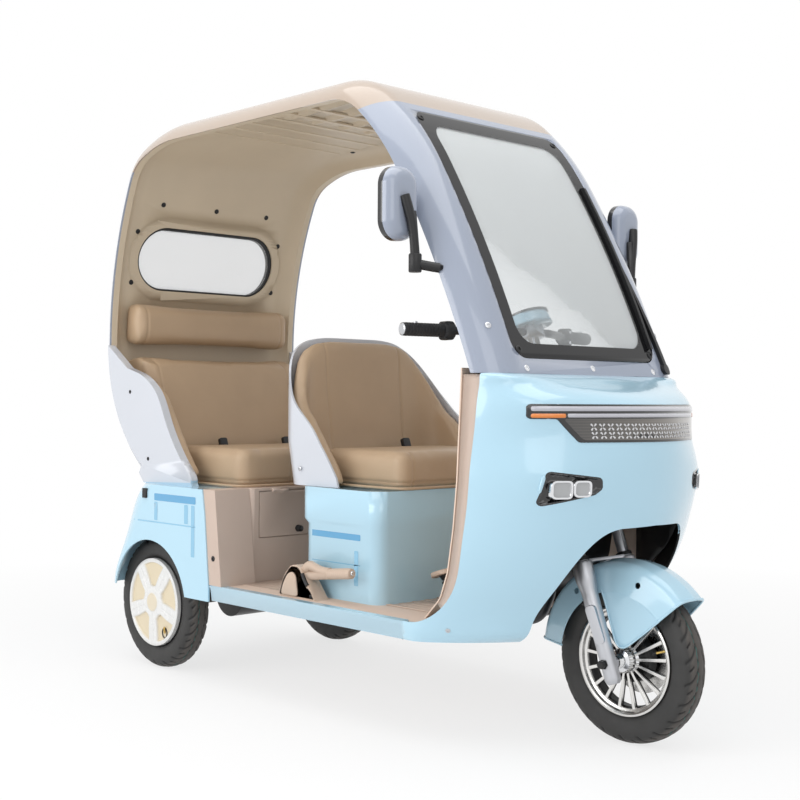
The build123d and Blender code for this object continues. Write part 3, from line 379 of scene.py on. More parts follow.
def tyreRubber(name, x0, y0):
    # worn brown crown, grooves painted near black as painted shade, a teal line round one shoulder
    finish = Finish(name, IOR=1.5)
    x, y, z = finish.axes("XYZ")
    groove = finish.mark("groove")
    reach = ((x - x0) * (x - x0) + (z - axleHeight) * (z - axleHeight)).maths("SQRT")
    dust = finish.noise(14, 5)
    side = finish.mix(dust, colours["tyre"], shade(colours["tyre"], 2.2))
    worn = finish.mix(reach.over(0.200, 0.006) * 0.8, side, colours["wornTread"])
    turn = (z - axleHeight).maths("ARCTAN2", x - x0)
    zigzag = (turn * 40).maths("SINE") * 0.0014
    line = (y - y0 + zigzag).within(-0.0128, -0.0108, 0.0005) * reach.over(0.190, 0.001)
    lined = finish.mix(line * 0.85, worn, (0.01, 0.15, 0.13))
    # painted shade: the groove mark darkens the grooves almost to black
    finish.set(Base_Color=finish.mix(groove * 0.95, lined, (0.004, 0.004, 0.004)))
    finish.set(Roughness=finish.noise(50, 3) * 0.16 + 0.5)
    rings = (reach * 2400).maths("SINE") * reach.within(0.150, 0.178, 0.002)
    return finish.bump(rings * 0.5 + finish.noise(700, 3) * 0.4, 0.0002)


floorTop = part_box("floor_board")[1].z
rearTrackHalf = (rearTyreLow.y + rearTyreHigh.y) / 2
screenLow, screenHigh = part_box("windscreen_glass")
finishes = {row[1]: row[0](*row[1:]) for row in (
    (gloss, "bluePaint", colours["blue"]),
    (gloss, "lilacPaint", colours["lilac"]),
    (gloss, "seatShellPaint", colours["seatShell"], 0.2),
    (gloss, "roofPaint", colours["roof"], 0.3),
    (satin, "linerPlastic", colours["liner"], 0.42, 900),
    (floorRibs, "floorPlastic", colours["floor"]),
    (cowlPaint, "cowlPaint", colours["blue"], wellBlackAndShadeSet),
    # the shield's tan is a brighter copy of the trim tan: painted light on door edges that face away from the
    # lamps
    (shieldPlastic, "shieldPlastic", (0.84, 0.67, 0.55), wellBlackAndShadeSet),
    (satin, "trimPlastic", colours["trim"], 0.45),
    (leather, "tanLeather", colours["leather"]),
    (satin, "blackPlastic", colours["black"], 0.42, 1200),
    (gloss, "blackGloss", (0.008, 0.008, 0.009), 0.08),
    (satin, "framePaint", (0.018, 0.018, 0.02), 0.36, 500),
    (rubber, "blackRubber", colours["black"]),
    (metal, "silverMetal", colours["silver"], 0.32),
    (metal, "polished", (0.80, 0.81, 0.83), 0.12),
    (metal, "darkMetal", (0.07, 0.07, 0.075), 0.35),
    (glassLike, "rearPane", (0.95, 0.955, 0.96), 0.80, 0.08),
    (gloss, "lampStrip", (0.50, 0.50, 0.55), 0.14),
    (gloss, "fogLens", (0.42, 0.43, 0.44), 0.08),
    (gloss, "lampAmber", colours["orange"], 0.14),
    (gloss, "lampPetal", (0.66, 0.66, 0.68), 0.2),
    # black for the arch guards: partly the black well liner, partly painted shade
    (satin, "archBlack", (0.010, 0.010, 0.011), 0.6),
    (gloss, "wingFoot", (0.42, 0.60, 0.74), 0.2),
    (smokedLens, "smokedLens"),
    (metal, "machined", (0.80, 0.79, 0.77), 0.26),
    (satin, "brakeTan", (0.60, 0.46, 0.36), 0.45),
    (gloss, "stripeBlue", colours["stripe"], 0.2),
    (gloss, "stripePale", colours["paleStripe"], 0.2),
    (metal, "mirrorGlass", (0.85, 0.86, 0.88), 0.06),
    (metal, "brass", (0.72, 0.50, 0.16), 0.3),
    (metal, "forkGrey", (0.56, 0.57, 0.60), 0.42),
    (wheelCover, "starCover"),
    (tyreRubber, "tyreFront", frontAxleX, 0),
    (tyreRubber, "tyreRight", rearAxleX, rearTrackHalf),
    (tyreRubber, "tyreLeft", rearAxleX, -rearTrackHalf),
    (screenPane, "screenGlass", screenLow, screenHigh, 0.088, 0.038),
)}
print("finishes made:", len(finishes))


# making pieces
weldReach, sliverReach = 0.00002, 0.00001


def place(name, mesh, finish, body, replaced=()):
    piece = bpy.data.objects.new(name, mesh)
    collection.objects.link(piece)
    if finish and not mesh.materials:
        mesh.materials.append(finishes[finish].material)
    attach(piece, body)
    if replaced:
        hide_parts(*replaced)
    return piece


def smoothed(mesh, angle=35):
    for face in mesh.polygons:
        face.use_smooth = True
    if angle < 180:
        mesh.set_sharp_from_angle(angle=radians(angle))
    return mesh


def meshFrom(name, work):
    mesh = bpy.data.meshes.new(name)
    work.to_mesh(mesh)
    work.free()
    return mesh


def meshOf(name, work, angle=35):
    return smoothed(meshFrom(name, work), angle)


def evaluated(piece):
    # the mesh as the modifiers leave it
    return bpy.data.meshes.new_from_object(piece.evaluated_get(bpy.context.evaluated_depsgraph_get()))


def markMesh(mesh, name, domain, values):
    mesh.attributes.new(name, "FLOAT", domain).data.foreach_set("value", values)


def thicken(piece, thickness, offset):
    solid = piece.modifiers.new("thickness", "SOLIDIFY")
    solid.thickness = thickness
    solid.offset = offset


def dressed(node, finish, others=()):
    # others are (finish, test) pairs; a face takes the last whose test it meets
    work = bmesh.new()
    work.from_mesh(cadNodes[node].data)
    bmesh.ops.remove_doubles(work, verts=work.verts, dist=weldReach)
    bmesh.ops.dissolve_degenerate(work, edges=work.edges, dist=sliverReach)
    for spot, square in clipped.get(node, ()):
        everything = work.verts[:] + work.edges[:] + work.faces[:]
        cut = bmesh.ops.bisect_plane(work, geom=everything, plane_co=spot, plane_no=square, clear_outer=True)
        rim = [part for part in cut["geom_cut"] if isinstance(part, bmesh.types.BMEdge)]
        bmesh.ops.holes_fill(work, edges=rim)
    mesh = meshFrom(node, work)
    if node in insideTests:
        test = insideTests[node]
        markMesh(mesh, "inside", "FACE", [float(test(f.center, f.normal)) for f in mesh.polygons])
    mesh.materials.clear()
    for kind in (finish, *(pair[0] for pair in others)):
        mesh.materials.append(finishes[kind].material)
    for face in mesh.polygons:
        for count, (kind, test) in enumerate(others, start=1):
            if test(face.center, face.normal):
                face.material_index = count
    return place(node + "Skin", smoothed(mesh, 30), finish, nodeBody[node], replaced=(node,))


def facesInward(centre, normal):
    out = Vector((centre.x - (rearAxleX + 1.15), centre.y, 0)).normalized()
    return Vector((normal.x, normal.y, 0)).dot(out) < -0.25


insideTests = {"front_cowl": facesInward, "leg_shield": lambda centre, normal: normal.x > 0.3}
clipped = {
    "leg_shield": [((0, 0.358, 0), (0, 1, 0)), ((0, -0.358, 0), (0, -1, 0))],
    "seat_wings": [(ahead(-0.090, 0, 0.614), (-0.74, 0, -0.673))],
}
otherFaces = {
    "mirror_heads": [
        ("blackGloss", lambda centre, normal: normal.x < 0.14),
        ("mirrorGlass", lambda centre, normal: normal.x < -0.9),
    ],
    "seat_wings": [("wingFoot", lambda centre, normal: centre.z < 0.607)],
}


plainDress = {
    "roof_panel": "roofPaint", "rear_canopy_shell": "lilacPaint", "canopy_liner": "linerPlastic",
    "rear_window": "rearPane", "rear_window_seal": "blackRubber", "windscreen_frame": "lilacPaint",
    "windscreen_glass": "screenGlass", "windscreen_band": "blackGloss", "seat_wings": "seatShellPaint",
    "front_cowl": "cowlPaint", "headlamp_bar": "blackGloss", "fog_lamps": "blackGloss",
    "chassis_frame": "framePaint", "floor_board": "floorPlastic", "leg_shield": "shieldPlastic",
    "dash_top": "linerPlastic", "rear_body": "bluePaint", "rear_pillars": "trimPlastic",
    "tail_lamps": "blackPlastic", "rear_seat_base": "trimPlastic", "storage_flap": "trimPlastic",
    "flap_knobs": "blackPlastic", "driver_seat_box": "bluePaint", "battery_pack": "blackPlastic",
    "parking_brake": "brakeTan", "brake_pedal": "brakeTan", "mirror_heads": "lilacPaint",
    "mirror_arms": "blackPlastic", "wiper": "blackPlastic", "rear_axle": "framePaint",
    "drive_motor": "framePaint", "leaf_springs": "framePaint", "fork": "forkGrey",
    "front_axle": "darkMetal", "front_fender": "bluePaint", "handlebar": "framePaint",
    "grips": "blackRubber", "nacelle": "bluePaint", "brake_disc": "machined",
    "rear_rim_right": "silverMetal", "rear_rim_left": "silverMetal",
}
for node, finish in plainDress.items():
    dressed(node, finish, others=otherFaces.get(node, ()))


# helpers that set things on the solids
trees = {}
castFrom = {
    "front": (Vector((-1, 0, 0)), lambda a, b: Vector((4, a, b))),
    "right": (Vector((0, 1, 0)), lambda a, b: Vector((rearAxleX + a, -3, b))),
    "left": (Vector((0, -1, 0)), lambda a, b: Vector((rearAxleX + a, 3, b))),
    "top": (Vector((0, 0, -1)), lambda a, b: Vector((rearAxleX + a, b, 4))),
    "inside": (Vector((-1, 0, 0)), lambda a, b: Vector((0, a, b))),
    "ceiling": (Vector((0, 0, 1)), lambda a, b: Vector((rearAxleX + a, b, 1.4))),
}


def touch(node, facing, a, b):
    # the point on a solid that a straight look from one side meets, and its outward normal
    if node not in trees:
        data = cadNodes[node].data
        faces = [tuple(p.vertices) for p in data.polygons]
        trees[node] = BVHTree.FromPolygons([v.co for v in data.vertices], faces)
    direction, start = castFrom[facing]
    point, normal = trees[node].ray_cast(start(a, b), direction)[:2]
    if point is None:
        return None
    return point, (-normal if normal.dot(direction) > 0 else normal).copy()


def roundedOutline(points, radius, steps=5):
    outline = []
    for before, corner, after in zip(points[-1:] + points[:-1], points, points[1:] + points[:1]):
        corner = Vector(corner)
        into, out = Vector(before) - corner, Vector(after) - corner
        reach = min(radius, into.length * 0.45, out.length * 0.45)
        first, last = corner + into.normalized() * reach, corner + out.normalized() * reach
        for step in range(steps + 1):
            t = step / steps
            outline.append(first * (1 - t) ** 2 + corner * 2 * t * (1 - t) + last * t**2)
    return outline


def rectangle(left, right, low, high, radius):
    return roundedOutline([(left, low), (right, low), (right, high), (left, high)], radius)


def boxOutline(a, b, width, height, radius):
    return rectangle(a - width / 2, a + width / 2, b - height / 2, b + height / 2, radius)


def cells(rows, columns, aroundRows=False, aroundColumns=False):
    # the quads of a grid of points listed row by row; either way may close on itself
    faces = []
    for a in range(rows if aroundRows else rows - 1):
        for c in range(columns if aroundColumns else columns - 1):
            b, d = (a + 1) % rows * columns, (c + 1) % columns
            faces.append((a * columns + c, a * columns + d, b + d, b + c))
    return faces


def gridMesh(name, points, quads, flipped=False):
    mesh = bpy.data.meshes.new(name)
    mesh.from_pydata(points, [], [quad[::-1] for quad in quads] if flipped else quads)
    return mesh


def flatGrid(outlines, step):
    # flat faces cut into cells
    work = bmesh.new()
    for outline in outlines:
        work.faces.new([work.verts.new((*p, 0)) for p in outline])
    for axis in (Vector((1, 0, 0)), Vector((0, 1, 0))):
        spread = [v.co.dot(axis) for v in work.verts]
        at = min(spread) + step
        while at < max(spread):
            everything = work.verts[:] + work.edges[:] + work.faces[:]
            bmesh.ops.bisect_plane(work, geom=everything, plane_co=axis * at, plane_no=axis)
            at += step
    return work


def draped(name, node, facing, outlines, finish, lift, thick, step):
    # lays flat outlines on a solid's skin
    work = flatGrid(outlines, step)
    lost = []
    for vert in work.verts:
        found = touch(node, facing, vert.co.x, vert.co.y)
        if found is None:
            lost.append(vert)
            continue
        vert.co = found[0] + found[1] * lift
    bmesh.ops.delete(work, geom=lost, context="VERTS")
    bmesh.ops.recalc_face_normals(work, faces=work.faces)
    outward = -castFrom[facing][0]
    if sum((f.normal.dot(outward) * f.calc_area() for f in work.faces), 0.0) < 0:
        bmesh.ops.reverse_faces(work, faces=work.faces)
    piece = place(name, meshOf(name, work, 180), finish, nodeBody[node])
    if thick:
        thicken(piece, thick, 1)


def lathe(profile, segments, closed=False):
    # turns (radius, along) pairs round Z and returns a bmesh
    work = bmesh.new()
    rings = []
    for radius, along in profile:
        if radius < 1e-6:
            rings.append([work.verts.new((0, 0, along))] * segments)
        else:
            turns = [2 * pi * n / segments for n in range(segments)]
            rings.append([work.verts.new((radius * cos(t), radius * sin(t), along)) for t in turns])
    pairs = list(zip(rings, rings[1:])) + ([(rings[-1], rings[0])] if closed else [])
    for lower, upper in pairs:
        for n in range(segments):
            corners = (lower[n], lower[(n + 1) % segments], upper[(n + 1) % segments], upper[n])
            kept = list(dict.fromkeys(corners))
            if len(kept) > 2:
                work.faces.new(kept)
    bmesh.ops.recalc_face_normals(work, faces=work.faces)
    return work


def turned(name, profile, segments, centre, along, finish, body, closed=False, angle=32, replaced=()):
    work = lathe(profile, segments, closed)
    matrix = Matrix.Translation(centre) @ Vector(along).to_track_quat("Z", "Y").to_matrix().to_4x4()
    bmesh.ops.transform(work, matrix=matrix, verts=work.verts)
    return place(name, meshOf(name, work, angle), finish, body, replaced=replaced)


def tube(name, points, radius, finish, body, closed=False, radii=None):
    # radii, where given, are shares of the radius, one for each point
    curve = bpy.data.curves.new(name + "Line", "CURVE")
    curve.dimensions = "3D"
    curve.bevel_depth = radius
    curve.bevel_resolution = 3
    curve.resolution_u = 5
    curve.use_fill_caps = True
    line = curve.splines.new("NURBS")
    line.points.add(len(points) - 1)
    for spot, point, share in zip(line.points, points, radii or [1] * len(points)):
        spot.co = (*point, 1)
        spot.radius = share
    line.order_u = 3
    line.use_cyclic_u = closed
    line.use_endpoint_u = not closed
    holder = bpy.data.objects.new(name + "Line", curve)
    collection.objects.link(holder)
    bpy.context.view_layer.update()
    mesh = evaluated(holder)
    bpy.data.objects.remove(holder)
    mesh.name = name
    return place(name, smoothed(mesh, 50), finish, body)


def studTree(stud, finish):
    # puts one stud on every point of a mesh, turned to the point's own directions
    tree = bpy.data.node_groups.new("studs", "GeometryNodeTree")
    tree.interface.new_socket("Points", in_out="INPUT", socket_type="NodeSocketGeometry")
    size = tree.interface.new_socket("Stud size", in_out="INPUT", socket_type="NodeSocketFloat")
    tree.interface.new_socket("Studs", in_out="OUTPUT", socket_type="NodeSocketGeometry")
    nodes = {}
    for key, kind in (
        ("in", "NodeGroupInput"), ("out", "NodeGroupOutput"), ("stud", "GeometryNodeObjectInfo"),
        ("facing", "GeometryNodeInputNamedAttribute"), ("along", "GeometryNodeInputNamedAttribute"),
        ("stand", "FunctionNodeAlignRotationToVector"), ("spin", "FunctionNodeAlignRotationToVector"),
        ("set", "GeometryNodeInstanceOnPoints"), ("real", "GeometryNodeRealizeInstances"),
        ("paint", "GeometryNodeSetMaterial"),
    ):
        nodes[key] = tree.nodes.new(kind)
    nodes["stud"].inputs["Object"].default_value = stud
    for key in ("facing", "along"):
        nodes[key].data_type = "FLOAT_VECTOR"
        nodes[key].inputs["Name"].default_value = key
    nodes["stand"].axis = "Z"
    nodes["spin"].axis = "X"
    nodes["spin"].pivot_axis = "Z"
    nodes["paint"].inputs["Material"].default_value = finishes[finish].material
    for start, out, end, into in (
        ("in", "Points", "set", "Points"), ("in", "Stud size", "set", "Scale"),
        ("stud", "Geometry", "set", "Instance"), ("facing", "Attribute", "stand", "Vector"),
        ("stand", "Rotation", "spin", "Rotation"), ("along", "Attribute", "spin", "Vector"),
        ("spin", "Rotation", "set", "Rotation"), ("set", "Instances", "real", "Geometry"),
        ("real", "Geometry", "paint", "Geometry"), ("paint", "Geometry", "out", "Studs"),
    ):
        tree.links.new(nodes[start].outputs[out], nodes[end].inputs[into])
    return tree, size.identifier


def studs(name, seats, stud, finish, body, size=1.0, along=(0, 0, 1)):
    # seats are (point, normal) or (point, normal, direction)
    seats = [seat for seat in seats if seat]
    points = bpy.data.meshes.new(name + "Points")
    points.from_pydata([seat[0] for seat in seats], [], [])
    turns = [seat[2] if len(seat) > 2 else along for seat in seats]
    for key, rows in (("facing", [seat[1] for seat in seats]), ("along", turns)):
        layer = points.attributes.new(key, "FLOAT_VECTOR", "POINT")
        layer.data.foreach_set("vector", [part for row in rows for part in row])
    holder = bpy.data.objects.new(name + "Points", points)
    pattern = bpy.data.objects.new(name + "Stud", stud)
    collection.objects.link(holder)
    collection.objects.link(pattern)
    tree, sizeInput = studTree(pattern, finish)
    growth = holder.modifiers.new("studs", "NODES")
    growth.node_group = tree
    growth[sizeInput] = float(size)
    bpy.context.view_layer.update()
    mesh = evaluated(holder)
    holder.modifiers.remove(growth)
    bpy.data.objects.remove(holder)
    bpy.data.objects.remove(pattern)
    mesh.name = name
    return place(name, mesh, None, body)


def blockOf(outline, height, bevel=0.0, angle=35, name="block"):
    work = bmesh.new()
    base = work.faces.new([work.verts.new((*p, 0)) for p in outline])
    raised = bmesh.ops.extrude_face_region(work, geom=[base])
    for vert in [g for g in raised["geom"] if isinstance(g, bmesh.types.BMVert)]:
        vert.co.z += height
    if bevel:
        top = [e for e in work.edges if all(v.co.z > height / 2 for v in e.verts)]
        bmesh.ops.bevel(work, geom=top, offset=bevel, segments=3, affect="EDGES", profile=0.6)
    bmesh.ops.recalc_face_normals(work, faces=work.faces)
    return meshOf(name, work, angle)


screwSet = {"head": 0.0070, "dome": 0.0024, "socket": 0.0030}


def ballProfile(radius, reach, count):
    turns = np.linspace(-reach, reach, count)
    return [(0.0, -radius)] + [(radius * cos(t), radius * sin(t)) for t in turns] + [(0.0, radius)]


def screwHead(s):
    work = lathe([(s["head"], 0), (s["head"] * 0.98, s["dome"] * 0.5), (s["head"] * 0.7, s["dome"]),
                  (s["socket"], s["dome"]), (s["socket"] * 0.9, s["dome"] * 0.3), (0, s["dome"] * 0.3)], 14)
    return meshOf("screwHead", work, 40)


domedScrew = screwHead(screwSet)


# soft seats
def stuffed(name, mesh, body, finish, s, replaced=()):
    # swells a slightly smaller copy under pressure, then sews its seams in
    work = bmesh.new()
    work.from_mesh(mesh)
    bmesh.ops.remove_doubles(work, verts=work.verts, dist=weldReach)
    bmesh.ops.recalc_face_normals(work, faces=work.faces)
    bmesh.ops.triangulate(work, faces=work.faces)
    start = meshFrom(name + "Start", work)
    co = np.array([v.co for v in start.vertices])
    low, high = co.min(0), co.max(0)
    centre, span = (low + high) / 2, high - low
    shrink = 1 - 2 * s["inset"] / span
    start.vertices.foreach_set("co", ((co - centre) * shrink + centre).ravel())
    piece = bpy.data.objects.new(name, start)
    collection.objects.link(piece)
    grid = piece.modifiers.new("voxels", "REMESH")
    grid.mode = "VOXEL"
    grid.voxel_size = s["voxel"]
    bpy.context.view_layer.update()
    even = evaluated(piece)
    piece.modifiers.clear()
    piece.data = even
    rest = np.array([v.co for v in even.vertices])
    cloth = piece.modifiers.new("stuffing", "CLOTH")
    cloth.settings.use_pressure = True
    cloth.settings.uniform_pressure_force = s["pressure"]
    cloth.settings.effector_weights.gravity = 0
    cloth.settings.quality = 4
    cloth.point_cache.frame_start = 1
    cloth.point_cache.frame_end = s["frames"]
    for frameNumber in range(1, s["frames"] + 1):
        bpy.context.scene.frame_set(frameNumber)
    swollen = evaluated(piece)
    piece.modifiers.clear()
    bpy.context.scene.frame_set(1)
    moved = np.array([v.co for v in swollen.vertices]) - rest
    length = np.linalg.norm(moved, axis=1, keepdims=True)
    moved *= np.minimum(1, s["cap"] / np.maximum(length, 1e-9))
    settled = np.clip(rest + moved, low - s["over"], high + s["over"])
    even.vertices.foreach_set("co", settled.ravel())
    soft = piece.modifiers.new("smooth", "CORRECTIVE_SMOOTH")
    soft.factor = 0.5
    soft.iterations = s["smooth"]
    soft.use_only_smooth = True
    finer = piece.modifiers.new("finer", "SUBSURF")
    finer.levels = finer.render_levels = 1
    bpy.context.view_layer.update()
    sewn = evaluated(piece)
    co = np.array([v.co for v in sewn.vertices])
    normals = np.array([v.normal for v in sewn.vertices])
    for seam in s["seams"]:
        off = np.abs(seam(co - np.array((rearAxleX, 0, 0))))
        co -= normals * (s["seamDepth"] * np.exp(-((off / s["seamWidth"]) ** 2)))[:, None]
    sewn.vertices.foreach_set("co", co.ravel())
    bpy.data.objects.remove(piece)
    sewn.name = name
    sewn.materials.clear()
    smoothed(sewn, 180)
    made = place(name, sewn, finish, body, replaced=replaced)
    return made


padBase = {"voxel": 0.008, "inset": 0.007, "pressure": 4, "frames": 20, "cap": 0.014, "over": 0.002,
           "smooth": 4, "seamDepth": 0.0032, "seamWidth": 0.0035, "fill": 0.75, "seams": ()}

rearCushionSet = {**padBase, "cap": 0.018, "seams": (
    lambda p: p[:, 1] - 0.115,
    lambda p: p[:, 1] + 0.115,
    lambda p: p[:, 2] - (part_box("rear_cushion")[0].z + 0.020),
)}
rearBackrestSet = {**padBase, "seams": (lambda p: np.abs(p[:, 1]) - 0.270,)}
headrestSet = {**padBase, "inset": 0.004, "cap": 0.006, "smooth": 10,
               "seams": (lambda p: np.abs(p[:, 1]) - 0.284,)}
driverCushionSet = {**padBase, "cap": 0.018, "seams": (
    lambda p: np.abs(p[:, 1]) - 0.200,
    lambda p: p[:, 2] - (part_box("driver_cushion")[0].z + 0.020),
)}
driverPadSet = {**padBase, "voxel": 0.0072, "inset": 0.003, "cap": 0.008, "smooth": 16,
                "seams": (lambda p: np.abs(p[:, 1]) - 0.150,)}
for name, node, s in (
    ("rearCushion", "rear_cushion", rearCushionSet),
    ("rearBackrest", "rear_backrest", rearBackrestSet),
    ("rearHeadrest", "rear_headrest", headrestSet),
    ("driverCushion", "driver_cushion", driverCushionSet),
):
    stuffed(name, cadNodes[node].data, nodeBody[node], "tanLeather", s, replaced=(node,))


# Plan sections of the bucket: height, how far ahead its back is, half width, corner radius.
# Its rim: distance round the bucket from its middle, height.
bucketSet = {
    "sections": ((0.613, 0.552, 0.318, 0.080), (0.740, 0.516, 0.325, 0.105), (0.880, 0.500, 0.318, 0.115),
                 (0.975, 0.492, 0.306, 0.110), (1.050, 0.490, 0.292, 0.100)),
    "rim": ((0.000, 1.049), (0.120, 1.049), (0.190, 1.038), (0.250, 1.003), (0.290, 0.958), (0.325, 0.906),
            (0.360, 0.860), (0.390, 0.830), (0.430, 0.800), (0.470, 0.766), (0.505, 0.712), (0.530, 0.640)),
    "rows": 44, "columns": 120,
}


def eased(table, column, at):
    # reads a table at many places and rounds its corners off
    table = np.array(table)
    window = np.hanning(15) / np.hanning(15).sum()
    values = np.interp(at, table[:, 0], table[:, column])
    return np.convolve(np.pad(values, 7, "reflect", reflect_type="odd"), window, "valid")


def bucketSkin(inset, s):
    heights = np.linspace(s["sections"][0][0], s["sections"][-1][0], 120)
    sections = [eased(s["sections"], column, heights) for column in (1, 2, 3)]
    places = np.linspace(0, s["rim"][-1][0], s["columns"] // 2)
    tops = eased(s["rim"], 1, places)
    grid = np.zeros((s["rows"], 2 * len(places) - 1, 3))
    for column, (along, top) in enumerate(zip(places, tops)):
        for row, height in enumerate(np.linspace(heights[0], top, s["rows"])):
            rear, half, corner = (np.interp(height, heights, values) for values in sections)
            turn = min(max((along - (half - corner)) / corner, 0), pi / 2)
            arm = max(along - (half - corner) - corner * pi / 2, 0)
            x = rear + corner - (corner - inset) * cos(turn) + arm
            y = min(along, half - corner) + (corner - inset) * sin(turn)
            for side in (-1, 1):
                grid[row, len(places) - 1 + side * column] = (rearAxleX + x, side * y, height)
    return grid


def closedBetween(name, outer, inner):
    rows, columns = outer.shape[:2]
    work = bmesh.new()
    near, far = ([work.verts.new(point) for point in skin.reshape(-1, 3)] for skin in (outer, inner))
    for a, b, c, d in cells(rows, columns):
        work.faces.new((near[a], near[b], near[c], near[d]))
        work.faces.new((far[a], far[d], far[c], far[b]))
    around = [r * columns for r in range(rows)] + [(rows - 1) * columns + c for c in range(1, columns)]
    around += [r * columns + columns - 1 for r in range(rows - 2, -1, -1)] + list(range(columns - 2, 0, -1))
    for a, b in zip(around, around[1:] + around[:1]):
        work.faces.new((near[a], near[b], far[b], far[a]))
    bmesh.ops.recalc_face_normals(work, faces=work.faces)
    return meshOf(name, work, 40)


padShape = closedBetween("padShape", bucketSkin(0.009, bucketSet), bucketSkin(0.046, bucketSet))
stuffed("driverBackPad", padShape, nodeBody["driver_seat_pad"], "tanLeather", driverPadSet,
        replaced=("driver_seat_pad",))
place("bucketShell", closedBetween("bucketShell", bucketSkin(0.0, bucketSet), bucketSkin(0.0065, bucketSet)),
      "seatShellPaint", nodeBody["driver_seat_shell"], replaced=("driver_seat_shell",))


def piping(name, node, height, radius, corner, inset):
    low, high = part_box(node)
    centre = (low + high) / 2
    outline = boxOutline(centre.x, centre.y, high.x - low.x - 2 * inset, high.y - low.y - 2 * inset, corner)
    points = [(p.x, p.y, low.z + height) for p in outline]
    return tube(name, points, radius, "tanLeather", nodeBody[node], closed=True)


piping("rearPiping", "rear_cushion", 0.006, 0.004, 0.05, 0.004)
piping("driverPiping", "driver_cushion", 0.006, 0.004, 0.05, 0.004)


wingPadSet = {
    **padBase, "voxel": 0.0080, "inset": 0.0015, "cap": 0.004, "over": 0.0, "smooth": 6,
    "outline": ((-0.15, 0.955), (-0.055, 0.912), (0.004, 0.866), (0.060, 0.780), (0.124, 0.690),
                (0.186, 0.612), (-0.03, 0.606), (-0.20, 0.80), (-0.25, 0.94)),
    "corner": 0.03, "near": 0.340, "far": 0.3735,
}


def wingPad(side, s):
    outline = roundedOutline(s["outline"], s["corner"])
    work = bmesh.new()
    inner, outer = ([work.verts.new(ahead(p.x, side * out, p.y)) for p in outline]
                    for out in (s["near"], s["far"]))
    for n in range(len(outline)):
        m = (n + 1) % len(outline)
        work.faces.new((inner[n], inner[m], outer[m], outer[n]))
    work.faces.new(inner)
    work.faces.new(outer)
    bmesh.ops.recalc_face_normals(work, faces=work.faces)
    return meshOf("wingPadShape", work)


for word, side in sides:
    padShape = wingPad(side, wingPadSet)
    stuffed("wingPad" + word, padShape, nodeBody["seat_wings"], "tanLeather", wingPadSet)
print("seats padded")


# wheels
tyreSet = {"crown": 0.210, "half": 0.038, "middle": 0.172, "square": 2.5, "wrap": 146, "treadHalf": 62,
           "turns": 432, "rows": 56, "pitches": 22, "depth": 0.0036}


def tyreMesh(x0, y0, s):
    phi = np.radians(np.linspace(-s["wrap"], s["wrap"], s["rows"]))
    around = np.linspace(0, 2 * pi, s["turns"], endpoint=False)
    radial, sideways = (np.sign(f(phi)) * np.abs(f(phi)) ** (2 / s["square"]) for f in (np.cos, np.sin))
    reach = s["middle"] + (s["crown"] - s["middle"]) * radial
    out = s["half"] * sideways
    turn, share = np.meshgrid(around, np.degrees(phi) / s["treadHalf"], indexing="ij")
    bend = np.abs(share) * 1.15 + 0.22 * np.sin(np.abs(share) * 3.4)
    cell = (turn * s["pitches"] / (2 * pi) + bend + np.where(share > 0, 0.5, 0.0)) % 1
    groove = np.exp(-(((cell - 0.5) / 0.075) ** 2)) * ((np.abs(share) > 0.16) & (np.abs(share) < 1.12))
    dash = np.exp(-(((cell - 0.05) / 0.06) ** 2)) * ((np.abs(share) > 0.55) & (np.abs(share) < 0.86))
    bandCentre = 0.20 + 0.05 * np.sin(turn * s["pitches"])
    band = np.exp(-(((np.abs(share) - bandCentre) / 0.035) ** 2))
    sunk = s["depth"] * np.maximum(np.maximum(groove, dash), 0.9 * band)
    deep = 1 - sunk / s["half"]
    r = s["middle"] + (reach[None, :] - s["middle"]) * deep
    y = out[None, :] * deep
    verts = np.stack([x0 + r * np.cos(turn), y0 + y, axleHeight + r * np.sin(turn)], axis=2).reshape(-1, 3)
    quads = [(a, d, c, b) for a, b, c, d in cells(s["turns"], s["rows"], True, True)]
    mesh = gridMesh("tyreShape", verts.tolist(), quads)
    markMesh(mesh, "groove", "POINT", (sunk / s["depth"]).ravel())
    work = bmesh.new()
    work.from_mesh(mesh)
    bmesh.ops.recalc_face_normals(work, faces=work.faces)
    return meshOf("tyreShape", work, 60)


for node, finish, x0, y0 in (
    ("front_tyre", "tyreFront", frontAxleX, 0),
    ("rear_tyre_right", "tyreRight", rearAxleX, rearTrackHalf),
    ("rear_tyre_left", "tyreLeft", rearAxleX, -rearTrackHalf),
):
    place(node + "Tread", tyreMesh(x0, y0, tyreSet), finish, nodeBody[node], replaced=(node,))

rimSet = {"spokes": 17, "firstSpoke": 0.35, "flutes": 28, "seat": 0.139, "hub": 0.033, "spokeWidth": 0.0088,
          "spokeDepth": 0.006}


